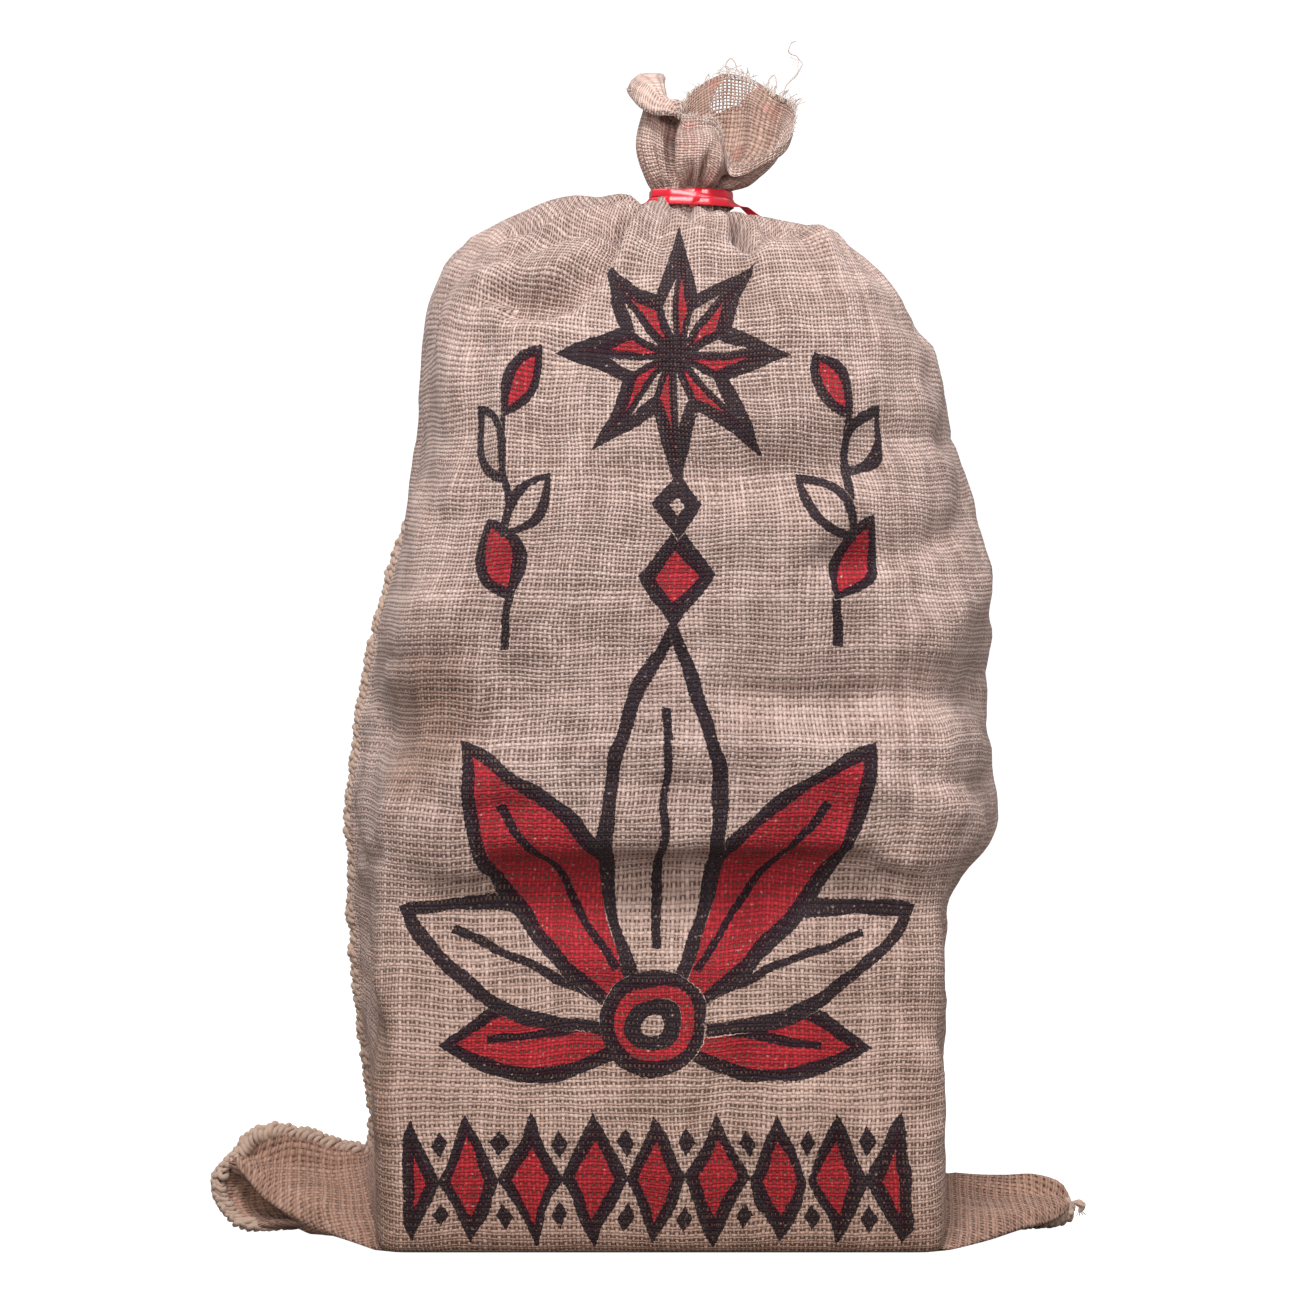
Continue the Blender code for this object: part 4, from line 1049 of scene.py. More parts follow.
def make_print(tree, place):
    """Give how far each place lies outside the black ink and outside the red ink, in metres."""
    pressed = (noise(tree, place, 26.0) - 0.5) * (LINE * PRESSED)
    across, up = split(tree, place)
    signed = across - MIDDLE
    out = abs(signed)
    ink = {"black": 1.0, "red": 1.0}

    def blacken(shape):
        """Ink a shape black."""
        ink["black"] = least(shape, ink["black"])

    def add(shape, red=0, line=LINE):
        """Lay a shape over what is there: cleared inside, lined in black, and filled with red."""
        outside = line - shape
        for name in ink:
            ink[name] = most(outside, ink[name])
        blacken(abs(shape) - (pressed + line))
        if red:
            ink["red"] = least(shape, ink["red"])

    def leaf(root_out, root_up, lean, long, wide):
        """A pointed leaf that grows from its root, leaning out from upright."""
        dx, dy = out - root_out, up - root_up
        sine, cosine = math.sin(math.radians(lean)), math.cos(math.radians(lean))
        run = (dx * sine + dy * cosine) * (2 / long) - 1.0
        aside = abs(dx * cosine - dy * sine)
        return aside + (run * run * wide - wide), aside, run

    def lozenge(x, y, wide, high):
        """A diamond about a middle."""
        return (abs(x) / wide + abs(y) / high - 1.0) * (wide * high / math.hypot(wide, high))

    # the fan of leaves, the lowest first, each with a vein, and the knob that it springs from
    for lean, long, wide, red in zip(*LEAVES.values(), strict=True):
        shape, aside, run = leaf(0.0, FAN_UP, lean, long, wide)
        add(shape, red)
        blacken(most(aside - VEIN, (abs(run) - VEIN_SHARE) * (long / 2)))
    knob = (out * out + (up - FAN_UP) * (up - FAN_UP)).to("SQRT")
    add(knob - KNOB, 1)
    add(knob - KNOB_EYE)
    # the sprigs
    stem = abs(out - ((up * STEM_BENDS).to("SINE") * STEM_SWAY + STEM_OUT)) - STEM
    blacken(most(stem, abs(up - STEM_UP) - STEM_HALF))
    for root_out, root_up, lean, long, wide, red in zip(*SPRIG.values(), strict=True):
        add(leaf(root_out, root_up, lean, long, wide)[0], red, LINE * SPRIG_LINE)
    # lozenges between the fan and the star
    for at, wide, high, red in LINKS:
        add(lozenge(out, up - at, wide, high), red)
    # the star, with every other facet red
    star_up = up - STAR_UP
    far = (signed * signed + star_up * star_up).to("SQRT")
    angle = signed.to("ARCTAN2", star_up) + 4 * math.pi
    facet = math.pi / 8
    folded = angle.to("PINGPONG", facet)
    px, py = far * folded.to("COSINE"), far * folded.to("SINE")
    run_x, run_y = STAR_VALLEY * math.cos(facet) - STAR_TIP, STAR_VALLEY * math.sin(facet)
    size = math.hypot(run_x, run_y)
    star = (px - STAR_TIP) * (run_y / size) + py * (-run_x / size)
    add(star)
    blacken(most(least(py, far * (facet - folded).to("SINE")) - SPOKE, star))
    ink["red"] = least(star + ((angle / facet).to("MODULO", 2.0) > 1.0), ink["red"])
    # the row of lozenges, with small black ones between
    stepped, row_up = out.to("PINGPONG", ROW_STEP / 2), up - ROW_UP
    ends = out - ROW_REACH
    add(most(lozenge(stepped, row_up, ROW_WIDE, ROW_HIGH), ends), 1, LINE * ROW_LINE)
    blacken(most(lozenge(stepped - ROW_STEP / 2, abs(row_up) - SPOT_OFF, SPOT_WIDE, SPOT_HIGH), ends))
    return ink


# The colours are dark and light. A patch is its middle, across and up, and its reach each way, and
# the other places are where something starts and where it is at its full.
YARN_COLOURS = (0.34, 0.215, 0.178, 1), (0.70, 0.522, 0.464, 1)
# painted shade: the dark seen through the holes of the weave, where there is only shade behind
HOLE_SHADE_COLOURS = (0.024, 0.012, 0.009, 1), (0.170, 0.104, 0.078, 1)
INK_COLOURS = {
    "red": ((0.22, 0.006, 0.014, 1), (0.62, 0.026, 0.045, 1)),
    "black": ((0.004, 0.002, 0.005, 1), (0.036, 0.022, 0.036, 1)),
}
LOOSE_PATCH = (0.8592, 0.985, 0.0145, 0.021)
LOOSE_LEAN = 0.60
# painted shade on the left flank, in the hollow under a bulge and by the corner at the floor
SHADED_PATCHES = ((0.125, 0.465, 0.055, 0.060), (0.095, 0.200, 0.032, 0.120))
SHADE_EDGE = (1.0, 0.3)
HIGH_UP = (0.40, 0.68)
CLOSE_RIGHT, CLOSE_RIGHT_UP, CLOSE_LEFT = (0.40, 0.47), (0.30, 0.42), (0.15, 0.07)
# painted shade: the cloth darkens near the floor and warms low down
FLOOR_SHADE_UP, LOW_SHADE_UP = (0.165, 0.098), (0.44, 0.22)
# the painted shade inside the ruff's back rises across these places and stops at the last
INSIDE, INSIDE_END = (0.795, 0.825), 0.905
BLOTCHES, BLOTCHED = (0.56, 0.70), 0.8  # of the noise, and how strongly
PRINT_END = HALF - 0.06
PATCHY, PATCHY_LEVEL = 0.9, 0.58  # how much the weave's openness varies, and about which level
LOOSE, LOOSER = 0.56, 0.10  # how much more open it is in the loose patch, and high up
RUFF_CLOSER, SIDES_CLOSER = 0.04, 0.13  # and how much closer there
INK_DRIFT = ((420.0, 0.0022), (20.0, 0.014))
INK_FULL, INK_MISSED, INK_MISSES = 0.97, 0.66, 6.0  # its cover, and where and how fast it misses
# how dark the painted shade in the holes is, and how much softer it is in the ruff and at the sides
HOLE_DEEP, HOLE_SOFTER = 0.92, 0.60
FIBRES = 0.18  # how high the fibres stand, over a yarn


def off_patch(across, up, patch):
    """How far a place lies from a patch's middle, squared, with 1 at the patch's edge."""
    at, high, wide, tall = patch
    off_a, off_u = (across - at) / wide, (up - high) / tall
    return off_a * off_a + off_u * off_u


def make_jute_cloth():
    """Jute yarn colours with painted shade where they dip and in their holes, the ink on top of them,
    painted shade and light in places, and the open patch in the ruff.
    """
    made, tree, shader = new_material("printed jute cloth")
    place = add_node(tree, "UVMap", uv_map="UVMap").outputs[0]
    across, up = split(tree, place)
    patchy = noise(tree, place, 7.0, 3.0, 0.6)
    in_ruff = up > (NECK_UP + RUFF_UP) / 2
    # the loose patch at the back of the ruff, where one sees through the weave
    leaning = (across + (up - LOOSE_PATCH[1]) * LOOSE_LEAN, up, LOOSE_PATCH)
    loose = off_patch(*leaning) < noise(tree, place, 90.0, 1.0) * 0.9 + 0.55
    # the weave is closer at both sides than over the middle of the front, and looser high up
    high_up = ramp(up, *HIGH_UP)
    closer = ramp(across, *CLOSE_RIGHT) * ramp(up, *CLOSE_RIGHT_UP)
    closer = most(closer, ramp(across, *CLOSE_LEFT))
    looser = high_up * (1.0 - closer) * (1.0 - in_ruff)
    openness = (patchy - PATCHY_LEVEL) * PATCHY + loose * LOOSE + looser * LOOSER
    openness = openness - in_ruff * RUFF_CLOSER - closer * SIDES_CLOSER
    pairing = high_up * (UNPAIRED - PAIRED) + (noise(tree, place, 5.0, 1.0) * 0.07 + (PAIRED - 0.03))
    sockets = {"Place": place, "Openness": openness, "Pairing": pairing}
    woven = add_node(tree, "Group", sockets, node_tree=make_weave())
    height, gap, tone = (Value(tree, woven.outputs[name]) for name in ("Height", "Gap", "Tone"))
    # yarn colours, from dark to light, a little uneven from place to place, with painted shade where each
    # yarn dips low in the weave
    worn = noise(tree, place, 30.0, 3.0) - 0.5
    light = worn * 0.7 + tone
    shade = height * 0.55 + 0.50
    painted_dip_shade = add_node(tree, "CombineColor", {0: shade, 1: shade, 2: shade}).outputs[0]
    colour = mix_colours(tree, 1.0, mix_colours(tree, light, *YARN_COLOURS), painted_dip_shade, "MULTIPLY")
    # the ink, which follows the yarns at its edges, misses a yarn here and there and has the same painted
    # shade where its yarn dips
    ink = make_print(tree, shifted(tree, place, INK_DRIFT))
    on_front = across < PRINT_END
    coverage = INK_FULL - most((noise(tree, place, 330.0, 1.0) - INK_MISSED) * INK_MISSES, 0.0)
    for name, tones in INK_COLOURS.items():
        inked = (ink[name] < 0.0) * on_front * coverage
        colour = mix_colours(tree, inked, colour, mix_colours(tree, light * height, *tones))
    # the holes, painted dark as the shade inside the weave, softer in the ruff and at the sides
    depth = least(gap, 1.0) * (HOLE_DEEP - most(closer * 0.6, in_ruff) * HOLE_SOFTER)
    colour = mix_colours(tree, depth, colour, mix_colours(tree, patchy, *HOLE_SHADE_COLOURS))
    inside = ramp(across, *INSIDE) * in_ruff * (across < INSIDE_END)
    blotched = ramp(noise(tree, place, 38.0), *BLOTCHES) * in_ruff * BLOTCHED
    tints = [
        # painted shade, darker near the floor, and warmer and a little darker low down
        (ramp(up, *FLOOR_SHADE_UP) * (worn * 0.8 + 0.85), (0.64, 0.53, 0.46, 1)),
        (ramp(up, *LOW_SHADE_UP), (1.0, 0.945, 0.885, 1)),
        # painted shade in two places along the left side, in the hollow and by the corner at the floor
        *(
            (ramp(off_patch(across, up, patch) - worn * 1.2, *SHADE_EDGE), (0.66, 0.60, 0.55, 1))
            for patch in SHADED_PATCHES
        ),
        # lighter all over the ruff, painted light; darker inside its back, painted shade; and faintly
        # stained with red
        (in_ruff, (1.20, 1.19, 1.17, 1)),
        (inside, (0.68, 0.625, 0.585, 1)),
        (blotched, (1.0, 0.76, 0.77, 1)),
    ]
    for share, tint in tints:
        colour = mix_colours(tree, share, colour, tint, "MULTIPLY")
    raised = noise(tree, place, 900.0) * FIBRES + height
    bump = add_node(tree, "Bump", {"Strength": 1.0, "Distance": 0.0012, "Height": raised})
    finish = {
        "Base Color": colour,
        "Roughness": 0.9,
        "Specular IOR Level": 0.2,
        "Sheen Weight": 0.12,
        "Sheen Roughness": 0.3,
        "Normal": bump.outputs[0],
        "Alpha": 1.0 - (gap > 0.0) * loose,
    }
    wire(tree, shader, finish)
    return made


cloth = lay_cloth()
sack = weave_sack()
sack.data.materials.append(make_jute_cloth())
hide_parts("sack_cloth")


# ---------------------------------------------------------------------------------------------
# The overedge seam: two strands of thick, soft jute twine, sewn round the raw edges at the left
# and along the bottom. One strand is wrapped round the edge, and one is chained along its crest.
SEWN_TO = 0.985  # the side seam ends this far up, at the mouth
TIE_GAP = (0.868, 0.914)  # and is hidden here, under the ribbon
SEAM_TURNS_BACK = ((0.585, 0.0), (0.66, -0.018), (0.76, -0.075), (1.0, -0.095))
FLAT_FROM, FLAT_OVER, FLATTER = 0.56, 0.12, 0.45  # the stitches lie flatter above the shoulder
SEAM_STEP = 0.004  # between the places that the seam is led through
SMOOTHED = 6  # how many points each way its line is smoothed over
SEAM_RING = 2  # the ring of the cloth that the bottom seam faces away from
BOTTOM_FLAT = 0.35  # the stitches lie a little flatter there
STITCH = 0.0045
STITCH_UNEVEN = (0.7, 0.14, 0.14)  # in place, in depth and in width
TWINE_WIDE = 0.0039
WRAP_OUT, WRAP_ASIDE = 0.0022, 0.0050
SLANT = 0.0042  # how far each stitch leans along the edge
EAR_WRAP = 0.0014  # how much deeper the stitches reach on the left ear
EAR_BELOW, EAR_FADE, EAR_LEFT = 0.10, 0.03, -0.2  # that ear lies below and to the left of these
SUNK = 0.0036  # how far the twine's middle lies inside the seam's line
SWAY = (0.0006, 340, 3, 91)  # how its line sways: how far, how fast, and how that pace drifts
SWELL = (0.18, 410, 5, 57)  # and how its thickness does, in the same terms
CHAIN_OUT, CHAIN_ASIDE = 0.0008, 0.0012
WRAP_POINTS = 12  # points along the twine in each stitch
PLY = 0.0052  # along the twine, from one twist of its plies to the next
GAP = 0.0003  # the least gap over the floor


def run_of(line):
    """Give a line's direction at each of its points, and how far along it each one lies."""
    along = np.gradient(line, axis=0)
    along /= np.linalg.norm(along, axis=1, keepdims=True)
    gone = np.concatenate([[0], np.cumsum(np.linalg.norm(np.diff(line, axis=0), axis=1))])
    return along, gone


def lay_grid(net, rows):
    """Lay a smooth grid through rows of points, each of them with its place on the UV map."""
    flat = net.loops.layers.uv.verify()
    wide, long = len(rows[0]) - 1, len(rows) - 1
    made = bmesh.ops.create_grid(net, x_segments=wide, y_segments=long, size=0.5)
    place = {}
    for vert, (here, mapped) in zip(made["verts"], sum(rows, []), strict=True):
        vert.co = here
        place[vert] = mapped
    for face in {face for vert in place for face in vert.link_faces}:
        face.smooth = True
        for loop in face.loops:
            loop[flat].uv = place[loop.vert]


def lay_strand(net, line, radii, sides=6):
    """Lay one strand along a line of points, with its own round and along as its UV map."""
    line = np.asarray(line, float)
    along, gone = run_of(line)
    radii = np.broadcast_to(radii, len(line))
    turns = np.linspace(0, 2 * math.pi, sides + 1)
    aside = np.array([0.31, 0.87, 0.38])  # any direction that no strand starts in
    rows = []
    for here, way, radius, far in zip(line, along, radii, gone, strict=True):
        aside = aside - way * (aside @ way)
        aside /= np.linalg.norm(aside)
        other = np.cross(way, aside)
        row = []
        for turn in turns:
            spoke = math.cos(turn) * aside + math.sin(turn) * other
            row.append((here + radius * spoke, (turn / (2 * math.pi), far)))
        rows.append(row)
    lay_grid(net, rows)


def close_strands(net):
    """Join each strand along its side and close its ends."""
    bmesh.ops.remove_doubles(net, verts=net.verts, dist=MERGE / 10)
    ends = [edge for edge in net.edges if edge.is_boundary]
    bmesh.ops.holes_fill(net, edges=ends, sides=0)
    bmesh.ops.recalc_face_normals(net, faces=net.faces)


def even_steps(stations, step):
    """Space stations evenly along their line, each a place, a way out and a flatness in a row."""
    stations = np.asarray(stations, float)
    gone = run_of(stations[:, :3])[1]
    places = np.arange(0, gone[-1], step)
    spaced = np.stack([np.interp(places, gone, column) for column in stations.T], axis=1)
    window = np.hanning(2 * SMOOTHED + 3)[1:-1]
    window /= window.sum()
    padded = np.pad(spaced, ((SMOOTHED, SMOOTHED), (0, 0)), mode="edge")
    return places, np.stack([np.convolve(column, window, "valid") for column in padded.T], axis=1)


def side_seam_stations(low, high):
    """Follow the sewn edge down the left side between two heights of the cloth."""
    turns_at, turns_to = zip(*SEAM_TURNS_BACK, strict=True)
    stations = []
    for up in np.arange(high, low, -SEAM_STEP):
        place, way_out = on_cloth(np.interp(up, turns_at, turns_to) % ROUND, up)
        stations.append([*place, *way_out, np.clip((up - FLAT_FROM) / FLAT_OVER, 0, 1)])
    return stations


def bottom_seam_stations(start, end):
    """Follow the bottom seam from one place to another, facing away from the cloth it joins."""
    ring, across = cloth["rings"][SEAM_RING], cloth["across"][SEAM_RING]
    stations = []
    for at in np.arange(start, end, SEAM_STEP):
        front, rear = np.interp((at, ROUND - at), across, range(len(across)))
        place = point(LEFT_SEAM, at) if at < HALF / 2 else point(RIGHT_SEAM, HALF - at)
        inside = (ring[round(front)] + ring[round(rear) % len(across)]) / 2
        way_out = place - inside
        stations.append([*place, *(way_out / np.linalg.norm(way_out)), BOTTOM_FLAT])
    return stations


def wavering(gone, size, pace, bend, drift):
    """Waver along a line by up to this size, at a pace that drifts itself."""
    return size * np.sin(gone * pace + bend * np.sin(gone * drift))


def sew(net, stations):
    """Wrap one strand round the edge and chain the other along its crest."""
    gone, spaced = even_steps(stations, STITCH / WRAP_POINTS)
    middle, way_out, flat = spaced[:, :3], spaced[:, 3:6], spaced[:, 6:]
    way_out = way_out / np.linalg.norm(way_out, axis=1, keepdims=True)
    along = run_of(middle)[0]
    aside = np.cross(along, way_out)
    draws = np.random.default_rng(11)
    stitches = int(gone[-1] / STITCH) + 2
    drift, deeper, wider = (
        np.interp(gone / STITCH, np.arange(stitches), draws.normal(0, spread, stitches))[:, None]
        for spread in STITCH_UNEVEN
    )
    turn = 2 * math.pi * gone[:, None] / STITCH + drift
    on_ear = np.clip((EAR_BELOW - middle[:, 2:]) / EAR_FADE, 0, 1) * (middle[:, :1] < EAR_LEFT)
    out = (WRAP_OUT * (1 - FLATTER * flat) + EAR_WRAP * on_ear) * (1 + deeper)
    sunk = SUNK + 0.8 * EAR_WRAP * on_ear - wavering(gone, *SWAY)[:, None]
    wrap = middle + way_out * (out * np.cos(turn) - sunk)
    wrap -= aside * (WRAP_ASIDE * (1 + wider) * np.sin(turn))
    wrap += along * (SLANT * np.sin(turn))
    chain = middle + way_out * (out - sunk + CHAIN_OUT * (1 + np.cos(turn + 1.1)))
    chain += aside * (CHAIN_ASIDE * (np.sin(turn / 2) - 1))
    for line, wide in ((wrap, TWINE_WIDE), (chain, TWINE_WIDE * 1.05)):
        line[:, 2] = np.maximum(line[:, 2], wide / 2 + GAP)
        lay_strand(net, line, wide / 2 * (1 + wavering(gone, *SWELL)))


def make_twine_finish(name, dark, bright):
    """Soft twisted jute: plies that wind round it, fine fibres, and a tone that drifts along it, with
    painted shade between the plies.
    """
    made, tree, shader = new_material(name)
    turned, along = split(tree, add_node(tree, "UVMap", uv_map="UVMap").outputs[0])
    ridge = abs(((turned + along / PLY) * (2 * math.pi)).to("SINE"))
    body = add_node(tree, "TexCoord").outputs["Object"]
    # the tone drifts along the twine, and painted shade darkens the grooves between its plies
    tone = noise(tree, body, 120.0) * 0.7 + ridge * 0.35
    raised = noise(tree, body, 1400.0, 3.0) * 0.5 + ridge
    bump = add_node(tree, "Bump", {"Strength": 0.8, "Distance": 0.0006, "Height": raised})
    finish = {
        "Base Color": mix_colours(tree, tone, dark, bright),
        "Roughness": 0.85,
        "Specular IOR Level": 0.25,
        "Sheen Weight": 0.3,
        "Normal": bump.outputs[0],
    }
    wire(tree, shader, finish)
    return made


seam_net = bmesh.new()
sew(seam_net, side_seam_stations(0.0, TIE_GAP[0]) + bottom_seam_stations(0.006, 0.126))
sew(seam_net, side_seam_stations(TIE_GAP[1], SEWN_TO))
sew(seam_net, bottom_seam_stations(HALF - 0.052, HALF - 0.004))
close_strands(seam_net)
seam = as_piece("overedge_seam_twine", seam_net)
twine = make_twine_finish("seam twine", (0.33, 0.222, 0.165, 1), (0.61, 0.445, 0.36, 1))
seam.data.materials.append(twine)


# ---------------------------------------------------------------------------------------------
# The twine's knotted tail at the tip of the right ear: the end of the same twine, cut off and
# knotted so that the bottom seam can't run.
TAIL_THICK = 0.0036
TAIL_ROOT = (0.0002, -0.002, -0.001)
TWINE_TAIL = table(
    "step x y z full",
    (0, 0.0000, 0.0000, 0.0000, 0.80),
    (1, 0.0025, 0.0000, 0.0005, 0.95),
    (2, 0.0050, 0.0000, 0.0000, 1.45),
    (3, 0.0065, 0.0000, -0.0030, 1.30),
    (4, 0.0045, 0.0000, -0.0060, 0.65),
)
# the knot's turn, which goes round the tail's thick place, and how far it reaches each way
TURN_STEP, TURN_THICK, TURN_REACH = 2.4, 0.0018, (0.0026, 0.0027, 0.0008)
# the frayed fibres at its end, and the step that they start at
FRAY_FIBRES, FRAY_STEP, FRAY_SPREAD, FRAY_THICK = 9, 3.7, 0.0014, 0.0005

tail_net = bmesh.new()
tail_places = np.linspace(0, 4, 29)
tail_root = on_cloth(HALF, 0)[0] + np.array(TAIL_ROOT)
tail_full = curve(TWINE_TAIL, "full", tail_places)
lay_strand(tail_net, tail_root + point(TWINE_TAIL, tail_places), TAIL_THICK / 2 * tail_full, 10)
turn = np.linspace(0, 2 * math.pi, 21)
turn_line = np.stack([np.cos(turn), np.sin(turn), np.sin(2 * turn)], axis=1) * TURN_REACH
lay_strand(tail_net, tail_root + point(TWINE_TAIL, TURN_STEP) + turn_line, TURN_THICK / 2)
tail_draws = np.random.default_rng(3)
root = tail_root + point(TWINE_TAIL, FRAY_STEP)
for _ in range(FRAY_FIBRES):
    spread = tail_draws.normal(0, FRAY_SPREAD, 3)
    fibre = [root, root + (0, 0, -0.001) + spread * 0.5, root + (0.0004, 0, -0.0028) + spread]
    lay_strand(tail_net, fibre, FRAY_THICK / 2, 3)
close_strands(tail_net)
tail = as_piece("twine_tail_knotted", tail_net)
tail.data.materials.append(twine)
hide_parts("twine_tail")


# ---------------------------------------------------------------------------------------------
# The frayed mouth: the cloth's raw edge has lost its last weft, so warp ends stand up in a short
# fringe, with a few pulled loops and one long curly yarn.
YARN_WIDE = 0.0009
LOOPS = table(
    "start end clear right back high",
    (0.800, 0.778, 0.0019, 0.000, -0.001, 0.0085),
    (0.704, 0.688, 0.0020, 0.002, 0.000, 0.0090),
    (0.618, 0.602, 0.0010, 0.005, -0.001, 0.0045),
)
LOOP_NODES = ("yarn_loop_left", "yarn_loop_back", "yarn_loop_right")
LOOP_BULGE = 0.3
LOOP_SUNK = (0, 0, -0.004)  # from a loop's ends down into the cloth
LONG_YARN_AT, LONG_YARN_CLEAR = 0.668, 0.0017
LONG_YARN = table(
    "step x y z",
    (0, 0.0000, 0.000, 0.000),
    (1, 0.0030, -0.001, 0.007),
    (2, 0.0100, -0.002, 0.014),
    (3, 0.0135, -0.001, 0.021),
    (4, 0.0110, 0.001, 0.026),
    (5, 0.0060, 0.001, 0.029),
    (6, 0.0045, 0.000, 0.034),
    (7, 0.0095, -0.001, 0.038),
)
# Two yarns run along it: how far, in how many points, drawn in by how much, how each one wanders
# (its waves along it and their size), where it leaves the cloth, how thick it is and its sides.
LONG_STRANDS = (
    (7, 57, (1, 1, 1), (31, 27, 23), (1, 1, 1), 0.0007, 0.0004, 0.0, 0.9, 6),
    (4.6, 40, (0.86, 1, 0.97), (17, 21, 19), (1.6, 1, 1), 0.0009, -0.002, -0.0004, 0.5, 5),
)
WALL = 0.0025  # the solid's own wall, which the roots of the yarns are measured on
FRINGE_YARNS = 330
# The lip is turned over before the first of these places and past the second, with its raw edge
# behind, so that few of the yarns drawn there are laid.
TURNED_OVER, LEFT_OUT = (0.235, 1.067), 0.85
FRINGE_LONG, BACK_LONG = (0.0015, 0.0045), (0.0015, 0.0075)  # the fringe's yarns are longer at the back
BACK = (0.60, 0.86)
FRINGE_LEAN, FRINGE_CURL, FRINGE_OUT = 0.45, 0.6, 0.3  # how unevenly they lean, curl and stand out
FRINGE_WIDE = (0.00018, 0.00042)
FRINGE_UP, FRINGE_FROM = 0.9985, 0.975  # each leaves the cloth here, on its way up from there


def yarn_root(across, clear):
    """Find where a loose yarn starts, just clear of the rim of the ruff."""
    outer, way_out = on_cloth(across, TALL)
    inner = outer - way_out * WALL
    root = (outer + inner) / 2
    root[2] = max(outer[2], inner[2]) + clear
    return root


def smooth_line(points, count):
    """Run a smooth line through a few points."""
    points = np.array(points, float)
    rows = {"step": np.arange(len(points), dtype=float), **dict(zip("xyz", points.T, strict=True))}
    return point(rows, np.linspace(0, len(points) - 1, count))


def spin_yarn(net, name, node=None):
    """Close a yarn's strands and make them a piece, in the place of its node if it has one."""
    close_strands(net)
    made = as_piece(name, net)
    made.data.materials.append(yarn_finish)
    if node:
        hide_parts(node)


yarn_finish = make_twine_finish("loose yarn", (0.40, 0.31, 0.27, 1), (0.76, 0.64, 0.57, 1))
for node, row in zip(LOOP_NODES, zip(*LOOPS.values(), strict=True), strict=True):
    start_at, end_at, clear, right, back, high = row
    start = yarn_root(start_at, clear)
    end = yarn_root(end_at, clear) - start
    crown = end / 2 + np.array([right, back, high])
    rising, falling = crown / 2 - LOOP_BULGE * end, (crown + end) / 2 + LOOP_BULGE * end
    points = [LOOP_SUNK, (0, 0, 0), rising, crown, falling, end, end + LOOP_SUNK]
    loop_net = bmesh.new()
    lay_strand(loop_net, start + smooth_line(points, 37), YARN_WIDE / 2)
    spin_yarn(loop_net, node + "_spun", node)

long_net = bmesh.new()
root = yarn_root(LONG_YARN_AT, LONG_YARN_CLEAR)
for far, count, drawn_in, waves_along, uneven, wander, low_x, high_x, thick, sides in LONG_STRANDS:
    line = point(LONG_YARN, np.linspace(0, far, count)) * drawn_in
    curl = np.linspace(0, 1, count)[:, None]
    waved = curl * waves_along
    waved = np.concatenate([np.sin(waved[:, :1]), np.cos(waved[:, 1:2]), np.sin(waved[:, 2:])], axis=1)
    below = root + np.linspace([low_x, 0, -0.005], [high_x, 0, -0.0006], 5)
    line = root + line + waved * uneven * wander * curl
    lay_strand(long_net, np.concatenate([below, line]), YARN_WIDE / 2 * thick, sides)
spin_yarn(long_net, "yarn_long_spun", "yarn_long")

fringe_net = bmesh.new()
draws = np.random.default_rng(23)
for _ in range(FRINGE_YARNS):
    at = draws.uniform(0, ROUND)
    if (at < TURNED_OVER[0] or at > TURNED_OVER[1]) and draws.random() < LEFT_OUT:
        continue
    root, way_out = on_cloth(at, FRINGE_UP)
    before, _ = on_cloth(at, FRINGE_FROM)
    onward = (root - before) / np.linalg.norm(root - before)
    aside = np.cross(onward, way_out)
    long = draws.uniform(*(BACK_LONG if BACK[0] < at < BACK[1] else FRINGE_LONG))
    lean, curl = draws.normal(0, FRINGE_LEAN), draws.normal(0, FRINGE_CURL)
    root = root - way_out * THICK / 2
    tip = onward * 0.9 + aside * (lean + curl) + way_out * draws.normal(0, FRINGE_OUT)
    points = [root - onward * 0.003, root, root + (onward + aside * lean) * long * 0.5, root + tip * long]
    lay_strand(fringe_net, smooth_line(points, 7), draws.uniform(*FRINGE_WIDE), 4)
spin_yarn(fringe_net, "mouth_fringe")


# ---------------------------------------------------------------------------------------------
# The tie: one length of glossy red curling ribbon, wound a little over twice round the gathered
# neck with its turns crossing at the front, knotted there, its two ends left short.
RIBBON_WIDE = 0.0054
RIBBON_THICK = 0.0004
RIBBON_CUPPED = 0.0002
RIBBON_HIGH = 0.7108
RIBBON_REACH = 0.0288  # from the middle of the neck to the first turn
TURN_LIES = 0.0008  # how much further out each turn lies than the one before
TURNS = 2.36
LEAVES_AT = 205
RIBBON_STEPS = 120  # stations in each turn
ACROSS_STEPS = 8  # grid steps over the ribbon's width
TAIL_COUNT = 25  # stations along each free end
CORNERS = (205, 238, 277, 297, 325, 352, 385, 420, 455, 490, 525, 565)  # degrees, round the neck
KNOT_AT = math.radians(277)
KNOT_STATIONS, KNOT_HALF = 25, 2.0  # its loop goes through this many stations, from minus this to this
KNOT_SUNK, KNOT_LOW = 0.0026, 0.0009  # its middle lies this far in from the first turn, and below it
KNOT_OUT, KNOT_ASIDE, KNOT_HIGH = 0.0052, 0.0012, 0.0066  # how far it reaches
KNOT_ROUND, KNOT_OVER, KNOT_FACING = 1.15, 1.3, 0.8  # and how slowly it turns out, up and over
RIB = 0.0007  # from one of the ribbon's fine ribs to the next
